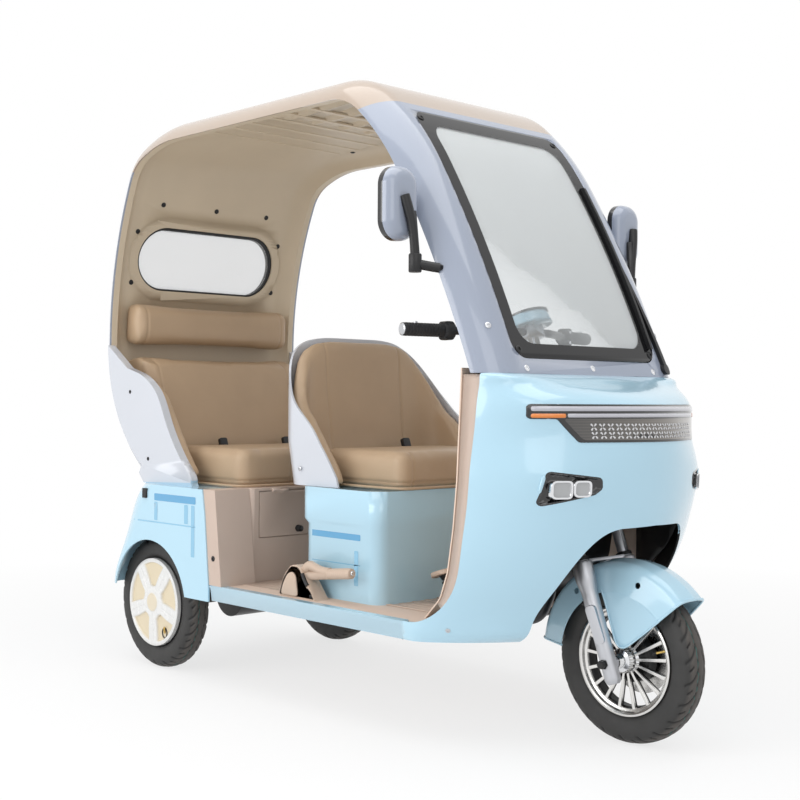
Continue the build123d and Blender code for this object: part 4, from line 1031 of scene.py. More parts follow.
def frontRim(s):
    body, centre = nodeBody["front_rim"], (frontAxleX, 0, axleHeight)
    seat = s["seat"]
    for word, out in sides:
        lip = [(seat, 0.019), (seat + 0.001, 0.032), (seat - 0.004, 0.0335), (seat - 0.008, 0.031),
               (seat - 0.011, 0.024), (seat - 0.017, 0.021), (seat - 0.019, 0.017), (seat - 0.008, 0.016)]
        turned("rimLip" + word, lip, 96, centre, (0, out, 0), "machined", body, closed=True,
               replaced=("front_rim",) if out < 0 else ())
    barrel = [(seat, -0.019), (seat - 0.014, -0.009), (seat - 0.014, 0.009), (seat, 0.019),
              (seat - 0.012, 0.0195), (seat - 0.021, 0.010), (seat - 0.021, -0.010), (seat - 0.012, -0.0195)]
    turned("rimBarrel", barrel, 80, centre, (0, 1, 0), "blackPlastic", body, closed=True)
    drum = [(0.0, -0.006), (0.052, -0.006), (0.058, -0.001), (0.060, 0.030), (0.0, 0.030)]
    turned("rimDrum", drum, 56, centre, (0, 1, 0), "blackPlastic", body)
    hub = [(0.009, -0.066), (0.017, -0.066), (0.019, -0.046), (0.028, -0.042), (0.030, -0.030),
           (0.030, -0.018), (0.036, -0.013), (0.036, 0.000), (0.009, 0.000)]
    turned("rimHub", hub, 40, centre, (0, 1, 0), "polished", body, closed=True)
    hubBack = [(0.009, 0.030), (0.034, 0.030), (0.032, 0.044), (0.020, 0.050), (0.019, 0.066), (0.009, 0.066)]
    turned("rimHubBack", hubBack, 40, centre, (0, 1, 0), "darkMetal", body, closed=True)
    turned("hubSeal", [(0.010, -0.0005), (0.0165, 0.0), (0.0165, 0.0035), (0.010, 0.0035)], 32,
           (frontAxleX, -0.0695, axleHeight), (0, 1, 0), "blackPlastic", body, closed=True)
    flute = blockOf(boxOutline(0, 0, 0.022, 0.0024, 0.001), 0.0016, 0.0005)
    rays = [(cos(t), 0, sin(t)) for t in (2 * pi * n / s["flutes"] for n in range(s["flutes"]))]
    seats = [((frontAxleX + 0.0296 * r[0], -0.031, axleHeight + 0.0296 * r[2]), r, (0, 1, 0)) for r in rays]
    studs("hubFlutes", seats, flute, "machined", body)
    inner, outer = s["hub"], seat - 0.016
    middle, half = (inner + outer) / 2, (outer - inner) / 2
    width = s["spokeWidth"]
    outline = roundedOutline([(-half, -width * 0.36), (half, -width * 0.5), (half, width * 0.5),
                              (-half, width * 0.36)], 0.002)
    spoke = blockOf(outline, s["spokeDepth"], 0.0009)
    turns = [2 * pi * (n + s["firstSpoke"]) / s["spokes"] for n in range(s["spokes"])]
    rays = [(cos(t), 0, sin(t)) for t in turns]
    for name, y, finish in (("rimSpokes", -0.0165, "machined"), ("rimSpokeBacks", -0.0105, "blackPlastic")):
        spots = [(frontAxleX + middle * r[0], y, axleHeight + middle * r[2]) for r in rays]
        studs(name, [(spot, (0, -1, 0), r) for spot, r in zip(spots, rays)], spoke, finish, body)
    at = 2 * pi * (s["firstSpoke"] + 0.5) / s["spokes"]
    stem = [Vector((frontAxleX + r * cos(at), y, axleHeight + r * sin(at))) for r, y in
            ((0.119, -0.012), (0.108, -0.016), (0.100, -0.026))]
    tube("valveStem", stem, 0.0032, "brass", body)
    tube("valveCap", [stem[-1], stem[-1] + (stem[-1] - stem[-2]) * 0.6], 0.0042, "blackPlastic", body)


frontRim(rimSet)
turned("wheelNut", [(0.0, -0.008), (0.009, -0.008), (0.011, -0.004), (0.011, 0.006), (0.0, 0.006)], 6,
       (frontAxleX, -0.119, axleHeight), (0, 1, 0), "blackPlastic", nodeBody["fork"], angle=20)

coverSet = {"radius": 0.1385, "cap": 0.029, "pocketLow": 0.050, "pocketHigh": 0.1255, "floor": 0.0385,
            "face": 0.0475, "capFace": 0.0500, "edge": 0.032, "crease": 0.0014, "slope": 0.0045, "spokes": 5}


def starCover(name, side, s):
    # a polar height field: dished star, five cream pockets, creases down the arms, raised cap
    rings = np.concatenate([np.linspace(0.0005, s["radius"], 64), [s["radius"]]])
    turns = np.linspace(0, 2 * pi, 300, endpoint=False)
    r, turn = np.meshgrid(rings, turns, indexing="ij")
    step = 2 * pi / s["spokes"]
    off = np.abs((turn - pi / 2 + step / 2) % step - step / 2)
    reach = np.clip((r - s["pocketLow"]) / (s["pocketHigh"] - s["pocketLow"]), 0, 1)
    halfAngle = np.radians(13 + 12 * reach ** 0.7)
    inside = np.minimum.reduce([(halfAngle - off) * r, r - s["pocketLow"] - off * 0.020, s["pocketHigh"] - r])
    pocket = np.clip(inside / s["slope"] + 0.5, 0, 1)
    pocket = pocket * pocket * (3 - 2 * pocket)
    star = s["face"] - 0.0035 * (r / s["radius"]) ** 2 + 0.0022 * np.exp(-(((r - 0.1315) / 0.0045) ** 2))
    arm = np.abs(off - step / 2) * r
    crease = np.exp(-((arm / 0.0016) ** 2)) * ((r > 0.052) & (r < 0.122))
    cap = np.clip((s["cap"] - r) / 0.002 + 0.5, 0, 1)
    out = star + (s["floor"] - star) * pocket - s["crease"] * crease + cap * (s["capFace"] - star)
    out[-1, :] = s["edge"]
    x = rearAxleX + r * np.cos(turn)
    y = side * (abs(rearTrackHalf) + out)
    z = axleHeight + r * np.sin(turn)
    verts = np.stack([x, y, z], axis=2).reshape(-1, 3)
    quads = cells(len(rings), len(turns), aroundColumns=True)
    mesh = gridMesh(name, verts.tolist(), [tuple(range(len(turns))), *quads])
    markMesh(mesh, "cream", "POINT", np.clip(pocket * 1.2 + cap - 0.15, 0, 1).ravel())
    if side > 0:
        mesh.flip_normals()
    node = "wheel_cover_right" if side < 0 else "wheel_cover_left"
    return place(name, smoothed(mesh, 50), "starCover", nodeBody[node], replaced=(node,))


for word, side in sides:
    name, body = "starCover" + word, nodeBody["wheel_cover_" + word.lower()]
    starCover(name, side, coverSet)
    foot = Vector((rearAxleX + 0.060, side * (abs(rearTrackHalf) + 0.0388), axleHeight - 0.092))
    stem = [foot, foot + Vector((0.004, side * 0.005, 0.008)), foot + Vector((0.006, side * 0.006, 0.020))]
    tube(name + "Valve", stem, 0.0032, "brass", body)
    turns = np.linspace(0, 2 * pi, 12, endpoint=False)
    ring = [foot + Vector((0.013 * cos(t), side * 0.0004, 0.016 * sin(t))) for t in turns]
    tube(name + "ValveHole", ring, 0.0022, "blackPlastic", body, closed=True)
print("wheels dressed")


# fork and fender
legLean = Vector((-sin(radians(20)), 0, cos(radians(20))))
forkSet = {
    "leg": 0.090,
    "profile": ((0.0, -0.052), (0.0135, -0.052), (0.0185, -0.047), (0.0206, -0.038), (0.0206, 0.174),
                (0.0212, 0.186), (0.0252, 0.206), (0.0262, 0.214), (0.0270, 0.252), (0.0258, 0.257),
                (0.0205, 0.259), (0.0195, 0.264), (0.0, 0.264)),
    "boot": ((0.0160, 0.262), (0.0215, 0.262), (0.0205, 0.270), (0.0160, 0.272)),
    "clamp": ((0.0085, -0.0105), (0.0165, -0.0105), (0.0175, -0.008), (0.0175, 0.012), (0.0085, 0.012)),
    "nut": ((0.0, 0.0), (0.0125, 0.0), (0.0125, 0.004), (0.0098, 0.0042), (0.0098, 0.0105), (0.0, 0.0105)),
    "padAt": 0.100, "boltAt": 0.150,
}
for word, side in sides:
    body = nodeBody["fork"]
    foot = Vector((frontAxleX, side * forkSet["leg"], axleHeight))
    turned("forkLeg" + word, forkSet["profile"], 40, foot, legLean, "forkGrey", body)
    turned("forkBoot" + word, forkSet["boot"], 32, foot, legLean, "blackPlastic", body, closed=True)
    pad = blockOf(boxOutline(0, 0, 0.100, 0.027, 0.0134), 0.012, 0.0022)
    spot = foot + legLean * forkSet["padAt"] + Vector((0.004, side * 0.0115, 0))
    studs("forkPad" + word, [(spot, Vector((0.22, side, 0)).normalized(), legLean)], pad, "forkGrey", body)
    turned("forkClamp" + word, forkSet["clamp"], 36, foot + Vector((0, -side * 0.010, 0)), (0, side, 0),
           "forkGrey", body, closed=True)
    turned("axleNut" + word, forkSet["nut"], 6, foot + Vector((0, side * 0.020, 0)), (0, side, 0),
           "blackPlastic", body, angle=20)
    bolt = [foot + legLean * forkSet["boltAt"] + Vector((x, side * 0.004, 0)) for x in (-0.018, -0.028)]
    tube("forkBolt" + word, bolt, 0.006, "blackPlastic", body)

skirtSet = {
    "high": 0.186, "bend": 0.174, "edge": 0.0648, "slope": 0.035, "steep": 0.17, "from": 42, "to": 105,
    "tip": ((0.130, 0.117), (0.104, 0.096), (0.076, 0.073), (0.050, 0.052), (0.034, 0.041),
            (0.022, 0.038), (0.010, 0.042), (0.003, 0.054), (-0.008, 0.082), (-0.020, 0.115),
            (-0.033, 0.150), (-0.047, 0.180)),
    "rows": 10, "columns": 56, "thick": 0.0025, "lip": 0.0024,
}


def fenderSkirt(name, side, s):
    # carries the fender's side down to a rounded tip beside the hub, ahead of the fork leg
    tip = np.array(s["tip"])
    along = np.concatenate([[0], np.cumsum(np.hypot(*np.diff(tip, axis=0).T))])
    shares = np.linspace(0, 1, s["columns"])
    low = np.stack([np.interp(shares * along[-1], along, tip[:, n]) for n in (0, 1)], axis=1)
    for _ in range(2):
        low[1:-1] = (low[:-2] + 2 * low[1:-1] + low[2:]) / 4
    turns = np.radians(s["from"] + (s["to"] - s["from"]) * shares)
    high = np.stack([s["high"] * np.cos(turns), s["high"] * np.sin(turns)], axis=1)
    verts = []
    for step in np.linspace(0, 1, s["rows"]):
        for x, z in high + (low - high) * step:
            reach = hypot(x, z)
            slope = s["steep"] if reach > s["bend"] else s["slope"]
            out = s["edge"] - (min(reach, s["high"]) - s["bend"]) * slope
            verts.append((frontAxleX + x, side * out, axleHeight + z))
    mesh = gridMesh(name, verts, cells(s["rows"], len(shares)), side > 0)
    skin = place(name, smoothed(mesh, 180), "bluePaint", nodeBody["front_fender"])
    thicken(skin, s["thick"], -1)
    lip = [Vector(vert) for vert in verts[-len(shares)::2]]
    tube(name + "Lip", lip, s["lip"], "bluePaint", nodeBody["front_fender"])


for word, side in sides:
    fenderSkirt("fenderSkirt" + word, side, skirtSet)


# a rolled lip across each end of the fender: radius and half width, from one side to the crown
lipSet = {
    "half": ((0.172, 0.0655), (0.200, 0.0600), (0.226, 0.0560), (0.240, 0.0520), (0.2490, 0.0430),
             (0.2525, 0.030), (0.2535, 0.0)),
    "ends": (("fenderLipFront", 42.4), ("fenderLipRear", 173.6)), "size": 0.0032,
}
for name, degrees in lipSet["ends"]:
    turn = radians(degrees)
    section = lipSet["half"] + tuple((r, -y) for r, y in lipSet["half"][-2::-1])
    points = [(frontAxleX + r * cos(turn), y, axleHeight + r * sin(turn)) for r, y in section]
    tube(name, points, lipSet["size"], "bluePaint", nodeBody["front_fender"])
print("fork and fender dressed")


# headlamp bar
lampSet = {"top": 0.853, "stripHigh": 0.0115, "stripGap": 0.006, "tabHalf": 0.331, "amber": 0.262,
           "lift": 0.0005, "thick": 0.0012, "petalRows": (0.7985, 0.7785), "petalHalf": 0.198,
           "petalStep": 0.022}


def headlamp(s):
    node = "headlamp_bar"
    upper = s["top"] - 0.005
    lowerTop = upper - s["stripHigh"] - s["stripGap"]
    edge = s["amber"] - 0.004
    upperStrip = rectangle(-s["tabHalf"], s["tabHalf"], upper - s["stripHigh"], upper, 0.004)
    lowerStrip = rectangle(-edge, edge, lowerTop - 0.009, lowerTop, 0.003)
    ambers = [rectangle(a, b, lowerTop - 0.010, lowerTop, 0.004)
              for a, b in ((-s["tabHalf"], -s["amber"]), (s["amber"], s["tabHalf"]))]
    for name, outlines, finish, step in (
        ("lampUpperStrip", [upperStrip], "lampStrip", 0.02),
        ("lampLowerStrip", [lowerStrip], "lampStrip", 0.02),
        ("lampIndicators", ambers, "lampAmber", 0.01),
    ):
        draped(name, node, "front", outlines, finish, s["lift"], s["thick"], step)
    lens = [(-0.226, 0.767), (0.226, 0.767), (0.252, 0.800), (0.268, 0.8185), (-0.268, 0.8185),
            (-0.252, 0.800)]
    draped("lampLens", node, "front", [roundedOutline(lens, 0.010)], "smokedLens", 0.0003, 0.0, 0.02)
    petal = [(0.0024, -0.001), (0.0094, -0.0026), (0.0112, 0.0), (0.0094, 0.0026), (0.0024, 0.001)]
    petal = blockOf(roundedOutline(petal, 0.001), 0.0007)
    seats = []
    for row in s["petalRows"]:
        for column in np.arange(-s["petalHalf"], s["petalHalf"] + 0.001, s["petalStep"]):
            found = touch(node, "front", column, row)
            for quarter in range(4):
                turn = pi / 4 + quarter * pi / 2
                direction = Vector((0, cos(turn), sin(turn)))
                seats.append((found[0] + found[1] * 0.0008, found[1], direction))
    studs("lampPetals", seats, petal, "lampPetal", nodeBody[node])


headlamp(lampSet)

# fog lamps
fogSet = {"lenses": ((0.284, 0.649, 0.048, 0.044), (0.239, 0.651, 0.040, 0.040)), "ring": 0.0042,
          "bezel": ((0.325, 0.612), (0.316, 0.690), (0.196, 0.674), (0.202, 0.642))}


def fogLamp(word, side, s):
    body = nodeBody["fog_lamps"]
    for count, (y, z, wide, high) in enumerate(s["lenses"]):
        ring = boxOutline(side * y, z, wide, high, 0.012)
        lens = boxOutline(side * y, z, wide - 2 * s["ring"], high - 2 * s["ring"], 0.009)
        back = touch("fog_lamps", "front", side * y, z)
        tilt = Vector((1, side * 0.55, -0.05)).normalized()
        work = bmesh.new()
        for outline, deep in ((ring, 0.0), (ring, 0.012), (lens, 0.012), (lens, 0.0085)):
            for spot in outline:
                depth = -((spot.x - side * y) * tilt.y + (spot.y - z) * tilt.z) / tilt.x
                work.verts.new((back[0].x - 0.004 + depth + deep, spot.x, spot.y))
        work.verts.ensure_lookup_table()
        size = len(ring)
        for quad in cells(4, size, aroundColumns=True):
            work.faces.new([work.verts[k] for k in quad])
        pane = work.faces.new([work.verts[3 * size + n] for n in range(size)])
        bmesh.ops.recalc_face_normals(work, faces=work.faces)
        pane.material_index = 1
        mesh = meshFrom("fogRing", work)
        for finish in ("polished", "fogLens"):
            mesh.materials.append(finishes[finish].material)
        if sum(f.normal.x * f.area for f in mesh.polygons) < 0:
            mesh.flip_normals()
        place(f"fogLamp{word}{count}", smoothed(mesh, 30), "polished", body)
    corners = roundedOutline([(side * a, b) for a, b in s["bezel"]], 0.022)
    path = [touch("front_cowl", "front", side * abs(p.x) + side * 0.004, p.y) for p in corners]
    path = [found[0] + found[1] * 0.0005 for found in path if found]
    tube("fogBezel" + word, path, 0.0042, "bluePaint", nodeBody["front_cowl"], closed=True)


for word, side in sides:
    fogLamp(word, side, fogSet)
print("lamps dressed")


# screws and bolts
def mirrored(spots):
    return spots + [(-a, b) for a, b in spots if a]


for name, node, facing, spots, finish, size in (
    ("screenBolts", "windscreen_frame", "front", [(0.0, 0.945), (0.262, 0.941)], "polished", 1.25),
    ("screenCaps", "windscreen_glass", "front", [(0.272, 1.612), (0.272, 0.988)], "blackPlastic", 1.5),
    ("frameScrews", "windscreen_frame", "front", [(0.345, 1.045)], "silverMetal", 1.2),
    ("windowScrews", "canopy_liner", "inside", [(0.30, 1.255), (0.30, 1.425), (0.22, 1.52), (0.0, 1.52)],
     "blackPlastic", 1.25),
):
    seats = [touch(node, facing, a, b) for a, b in mirrored(spots)]
    studs(name, seats, domedScrew, finish, nodeBody[node], size)
seats = [touch("canopy_liner", "ceiling", a, b) for a in (0.16, 0.52, 0.90) for b in (-0.29, 0.29)]
studs("ceilingScrews", seats, domedScrew, "blackPlastic", nodeBody["canopy_liner"], 1.25, along=(1, 0, 0))
for word, facing in (("Right", "right"), ("Left", "left")):
    for name, node, spots, finish, size in (
        ("wingScrews", "seat_wings", ((-0.150, 0.880), (-0.04, 0.665)), "blackPlastic", 0.9),
        ("pillarScrew", "rear_pillars", ((0.372, 0.385),), "blackPlastic", 1.2),
        ("cowlScrew", "front_cowl", ((1.306, 0.292),), "silverMetal", 0.9),
        ("bucketScrews", "driver_seat_shell", ((0.60, 0.76), (0.64, 0.66)), "silverMetal", 0.9),
    ):
        seats = [touch(node, facing, a, b) for a, b in spots]
        studs(name + word, seats, domedScrew, finish, nodeBody[node], size)
print("screws set")


# stripes on the bodywork
for word, facing in (("Right", "right"), ("Left", "left")):
    for name, node, finish, rows in (
        ("boxBar", "driver_seat_box", "stripeBlue", ((0.640, 0.905, 0.474, 0.491),)),
        ("boxLines", "driver_seat_box", "stripePale",
         ((0.655, 0.672, 0.350, 0.446), (0.880, 0.897, 0.350, 0.446), (0.640, 0.905, 0.405, 0.408))),
        ("bodyBar", "rear_body", "stripeBlue", ((0.06, 0.285, 0.540, 0.562),)),
        ("bodyLines", "rear_body", "stripePale",
         ((-0.06, 0.285, 0.470, 0.474), (0.06, 0.078, 0.478, 0.536), (0.225, 0.245, 0.478, 0.536),
          (0.262, 0.280, 0.380, 0.536))),
    ):
        draped(name + word, node, facing, [rectangle(*row, 0.004) for row in rows], finish, 0.0004, 0.0, 0.03)
print("stripes laid")


# controls; pairs are places ahead of the rear axle and heights
brakeSet = {
    "console": ((0.636, 0.306), (0.646, 0.335), (0.664, 0.368), (0.690, 0.394), (0.716, 0.398),
                (0.738, 0.384), (0.752, 0.350), (0.776, 0.330), (0.800, 0.306)),
    "plate": ((0.650, 0.310), (0.660, 0.340), (0.680, 0.370), (0.702, 0.378), (0.716, 0.366), (0.726, 0.310)),
    "neck": ((0.722, 0.372), (0.742, 0.398), (0.765, 0.394), (0.800, 0.385), (0.835, 0.386)),
    "slot": ((0.744, 0.0246, 0.376), (0.756, 0.0246, 0.352), (0.766, 0.024, 0.345)),
    "neckSize": 0.013, "slotSize": 0.0055, "ridges": 9, "ridgeStep": 0.009,
}


def parkingBrake(s):
    body = nodeBody["parking_brake"]
    low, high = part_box("parking_brake")
    middle = (low.y + high.y) / 2
    stand = Matrix(((1, 0, 0, rearAxleX), (0, 0, -1, 0), (0, 1, 0, 0), (0, 0, 0, 1)))
    console = blockOf(roundedOutline(s["console"], 0.012, 3), high.y - low.y, 0.0028, 40, "brakeConsole")
    console.transform(Matrix.Translation((0, high.y, 0)) @ stand)
    place("brakeConsole", console, "brakeTan", body, replaced=("parking_brake",))
    cover = blockOf(roundedOutline(s["plate"], 0.012, 3), 0.004, 0.001, 40, "brakePlate")
    cover.transform(Matrix.Translation((0, low.y + 0.0005, 0)) @ stand)
    place("brakePlate", cover, "brakeTan", body)
    neck = [ahead(x, middle, z) for x, z in s["neck"]]
    tube("brakeNeck", neck, s["neckSize"], "brakeTan", body, radii=[1.25, 1.2, 1.0, 0.95, 1.0])
    direction = (ahead(0.925, middle, 0.391) - ahead(0.828, middle, 0.380)).normalized()
    profile = [(0.0, 0.0), (0.012, 0.0)]
    for at in (n * s["ridgeStep"] for n in range(s["ridges"])):
        profile += [(0.0150, 0.006 + at), (0.0152, 0.009 + at), (0.0138, 0.0125 + at)]
    profile += [(0.0146, 0.090), (0.0128, 0.0965), (0.0, 0.0965)]
    turned("brakeGrip", profile, 32, ahead(0.828, middle, 0.381), direction, "brakeTan", body, angle=50)
    turned("brakeButton", [(0.0, 0.0), (0.0062, 0.0), (0.0062, 0.007), (0.0045, 0.0095), (0.0, 0.0100)], 24,
           ahead(0.828, middle, 0.381) + direction * 0.092, direction, "polished", body)
    slot = [ahead(x, middle - out, z) for x, out, z in s["slot"]]
    tube("brakeSlot", slot, s["slotSize"], "blackPlastic", body)
    studs("brakeScrew", [(ahead(0.780, low.y, 0.316), (0, -1, 0))], domedScrew, "blackPlastic", body, 0.8)


parkingBrake(brakeSet)
pedalSet = {"centre": (1.062, -0.150, 0.384), "stem": ((1.064, 0.378), (1.072, 0.350), (1.082, 0.309)),
            "coilSteps": 60, "coilTurn": 0.75, "coilRadius": 0.0165, "wire": 0.0022}


def pedal(s):
    body = nodeBody["brake_pedal"]
    tilt = Vector((-0.35, 0, 1)).normalized()
    centre = ahead(*s["centre"])
    pad = [(0.0, 0.0), (0.0405, 0.0), (0.0425, 0.002), (0.0430, 0.009), (0.0415, 0.0118), (0.037, 0.0128),
           (0.0, 0.0135)]
    turned("pedalPad", pad, 64, centre, tilt, "brakeTan", body, replaced=("brake_pedal",))
    boss = [(0.0, -0.014), (0.015, -0.014), (0.020, -0.004), (0.022, 0.0005), (0.0, 0.0005)]
    turned("pedalBoss", boss, 32, centre, tilt, "blackPlastic", body)
    stem = [ahead(x, s["centre"][1], z) for x, z in s["stem"]]
    tube("pedalStem", stem, 0.0105, "blackPlastic", body)
    coil = []
    for n in range(s["coilSteps"]):
        turn, share = n * s["coilTurn"], n / (s["coilSteps"] - 1)
        spine = stem[0] * (1 - share) + stem[2] * share
        coil.append(spine + Vector((s["coilRadius"] * cos(turn), s["coilRadius"] * sin(turn), 0)))
    tube("pedalSpring", coil, s["wire"], "darkMetal", body)


pedal(pedalSet)
gripSet = {"end": (1.118, 0.378, 1.044), "root": (1.146, 0.245, 1.044), "ribs": 11, "ribStep": 0.0095,
           "switches": 0.1395, "lever": ((0.020, 0.0), (0.030, 0.020), (0.036, 0.070), (0.034, 0.110))}


def handles(s):
    body = nodeBody["grips"]
    for word, side in sides:
        end = beside(side, s["end"])
        along = (beside(side, s["root"]) - end).normalized()
        rows = [(0.0105, 0.003), (0.0172, 0.003)]
        for at in (n * s["ribStep"] for n in range(s["ribs"])):
            rows += [(0.0178, 0.010 + at), (0.0178, 0.0145 + at), (0.0168, 0.0165 + at)]
        rows += [(0.0196, 0.121), (0.0196, 0.126), (0.0105, 0.126)]
        turned("gripSleeve" + word, rows, 48, end, along, "blackRubber", body, closed=True, angle=25)
        cap = [(0.0, -0.003), (0.0130, -0.003), (0.0160, -0.001), (0.0165, 0.004), (0.0, 0.004)]
        turned("gripEnd" + word, cap, 36, end, along, "silverMetal", body)
        turned("gripBolt" + word, [(0.0, 0.0), (0.006, 0.0), (0.006, 0.004), (0.0, 0.005)], 20,
               end + along * 0.040 + Vector((0, 0, 0.017)), (0, 0, 1), "silverMetal", body)
        box = blockOf(boxOutline(0, 0, 0.034, 0.050, 0.012), 0.030, 0.005)
        across = along.cross(Vector((0, 0, 1))).normalized()
        seat = end + along * s["switches"]
        studs("switchBox" + word, [(seat - across * 0.016, across, along)], box, "blackPlastic", body)
        knob = blockOf(boxOutline(0, 0, 0.012, 0.008, 0.003), 0.004, 0.001)
        spots = [(seat + Vector((0, 0, up)) - across * 0.016, -across, along) for up in (-0.015, 0.0, 0.015)]
        studs("switchKnobs" + word, spots, knob, "silverMetal", body)
        if side > 0:
            lever = [seat + across * out - along * back for out, back in s["lever"]]
            tube("brakeLever", lever, 0.0042, "silverMetal", body, radii=[1.4, 1.2, 1.0, 1.0])
            turned("leverBall", ballProfile(0.0075, 1.2, 9), 20, lever[-1], along, "silverMetal", body)


handles(gripSet)
dialSet = {"lean": (-0.342, 0, 0.940), "dial": 0.050, "ring": 0.056}


def nacelleDetail(s):
    body = nodeBody["nacelle"]
    low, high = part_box("nacelle")
    centre = Vector(((low.x + high.x) / 2, 0, (low.z + high.z) / 2))
    lean = Vector(s["lean"])
    ring = [(s["dial"], 0.0), (s["ring"], 0.0), (s["ring"], 0.006), (s["dial"], 0.008)]
    turned("nacelleRing", ring, 48, centre + lean * 0.016, lean, "blackGloss", body, closed=True)
    dial = [(0.0, 0.0), (s["dial"], 0.0), (s["dial"], 0.0045), (0.0, 0.0045)]
    turned("nacelleDial", dial, 48, centre + lean * 0.018, lean, "blackGloss", body)


nacelleDetail(dialSet)
print("controls set")

# mirrors; the stalk counts from the head
mirrorSet = {
    "head": (1.2185, 0.461, 1.362), "joint": (1.2315, 0.443, 1.178),
    "stalk": ((0.000, 0.008, 0.006), (0.006, 0.002, -0.020), (0.012, -0.010, -0.070), (0.013, -0.016, -0.120),
              (0.013, -0.018, -0.150)),
    "arm": ((1.248, 0.418, 1.194), (1.266, 0.392, 1.190)),
}
for word, side in sides:
    body, head = nodeBody["mirror_arms"], beside(side, mirrorSet["head"])
    stalk = [head + Vector((x, side * y, z)) for x, y, z in mirrorSet["stalk"]]
    tube("mirrorStalk" + word, stalk, 0.012, "blackPlastic", body, radii=[1.15, 1.15, 1.0, 1.0, 1.05])
    joint = beside(side, mirrorSet["joint"])
    barrel = [(0.0, 0.0), (0.0150, 0.0), (0.0165, 0.003), (0.0165, 0.043), (0.0150, 0.046), (0.0, 0.046)]
    turned("mirrorJoint" + word, barrel, 36, joint, (0, 0, 1), "blackPlastic", body)
    arm = [joint + Vector((0, 0, 0.022)), *(beside(side, spot) for spot in mirrorSet["arm"])]
    tube("mirrorArm" + word, arm, 0.0125, "blackPlastic", body)

# roof bumps
bumpSet = {"ahead": 0.640, "out": 0.100, "radius": 0.050, "high": 0.0088, "sunk": 0.001}
for word, side in sides:
    found = touch("roof_panel", "top", bumpSet["ahead"], side * bumpSet["out"])
    dome = [(bumpSet["radius"] * cos(t), bumpSet["high"] * sin(t) - bumpSet["sunk"])
            for t in np.linspace(0, pi / 2, 10)[:-1]]
    dome = [(0.0, -bumpSet["sunk"]), *dome, (0.0, bumpSet["high"] - bumpSet["sunk"])]
    turned("roofBump" + word, dome, 48, found[0], found[1], "roofPaint", nodeBody["roof_panel"], angle=180)

# trim that closes the gap between leg shield and cowl beside each door
trimSet = {"half": 0.352, "low": 0.345, "high": 0.925, "rows": 59, "thick": 0.003}
guardSet = {"outline": ((1.330, 0.362), (1.375, 0.395), (1.470, 0.470), (1.530, 0.545), (1.520, 0.625),
                        (1.330, 0.625)), "corner": 0.02, "bendFrom": 1.30, "bend": 0.62, "power": 1.35}


def cowlEdge(facing, height):
    # the rearmost point of the cowl's outer skin at one height
    found = [touch("front_cowl", facing, x, height) for x in np.arange(1.10, 1.50, 0.003)]
    return next((hit[0] for hit in found if hit and abs(hit[0].y) > 0.36), None)


for word, side in sides:
    rows = []
    for height in np.linspace(trimSet["low"], trimSet["high"], trimSet["rows"]):
        edge = cowlEdge(word.lower(), height)
        shield = touch("leg_shield", "front", side * trimSet["half"], height)
        if edge and shield:
            rows.append((Vector((shield[0].x - 0.002, side * trimSet["half"], height)),
                         edge - Vector((-0.003, side * 0.003, 0))))
    name, points = "doorTrim" + word, [point for row in rows for point in row]
    mesh = gridMesh(name, points, cells(len(rows), 2), side > 0)
    thicken(place(name, smoothed(mesh, 180), "trimPlastic", nodeBody["leg_shield"]), trimSet["thick"], 0)

# black guards inside the front arch, partly the black well liner and partly painted shade
for word, side in sides:
    work = flatGrid([roundedOutline(guardSet["outline"], guardSet["corner"])], 0.03)
    for vert in work.verts:
        x, z = vert.co.x, vert.co.y
        bend = guardSet["bend"] * max(x - guardSet["bendFrom"], 0) ** guardSet["power"]
        vert.co = ahead(x, side * (trimSet["half"] - bend), z)
    bmesh.ops.recalc_face_normals(work, faces=work.faces)
    guardMesh = meshOf("archGuard", work, 180)
    # painted shade: the guards are black, standing partly for the black well liner
    guardPiece = place("archGuard" + word, guardMesh, "archBlack", nodeBody["front_cowl"])
    thicken(guardPiece, trimSet["thick"], 0)
print("doors trimmed")

# raised strips along the floor, ribs across the ceiling
strips = []
for row in range(15):
    across = -0.336 + row * 0.048
    # the inner ones stop at the driver's seat box
    centre, length = (0.975, 0.36) if abs(across) < 0.29 else (0.72, 0.83)
    strips.append(boxOutline(centre, across, length, 0.016, 0.006))
strips = [outline for outline in strips if touch("floor_board", "top", outline[0].x, outline[0].y)]
draped("floorStrips", "floor_board", "top", strips, "floorPlastic", 0.0008, 0.0018, 0.04)
ribBlock = blockOf(boxOutline(0.0, 0.0, 0.56, 0.020, 0.009), 0.006, 0.0018)
ribSet = {"places": (0.10, 0.20, 0.30, 0.40, 0.50, 0.60), "half": 0.28, "tries": 15, "flat": 0.012}
ribs = []
for at in ribSet["places"]:
    found = [touch("canopy_liner", "ceiling", at, y)
             for y in np.linspace(-ribSet["half"], ribSet["half"], ribSet["tries"])]
    heights = [hit[0].z for hit in found if hit]
    if len(heights) == ribSet["tries"] and max(heights) - min(heights) < ribSet["flat"]:
        ribs.append((ahead(at, 0, min(heights) + 0.0040), (0, 0, -1), (0, 1, 0)))
studs("ceilingRibs", ribs, ribBlock, "linerPlastic", nodeBody["canopy_liner"])
print("ribs laid", len(strips), len(ribs))

# under the floor
for name, x, y, z, size in (
    ("standFoot", 1.085, -0.318, 0.247, 0.014), ("linkA", 0.470, -0.290, 0.249, 0.016),
    ("linkB", 0.520, -0.300, 0.250, 0.013), ("linkC", 0.560, -0.310, 0.251, 0.011),
):
    path = [ahead(x, y + 0.045, z + 0.022), ahead(x, y, z + 0.006), ahead(x + 0.012, y - 0.030, z)]
    tube(name, path, size, "blackPlastic", nodeBody["chassis_frame"], radii=[1.0, 1.0, 0.85])
turned("springBall", ballProfile(0.013, 1.3, 11), 28, ahead(-0.152, -0.244, 0.243), (0, 1, 0), "blackGloss",
       nodeBody["leaf_springs"])

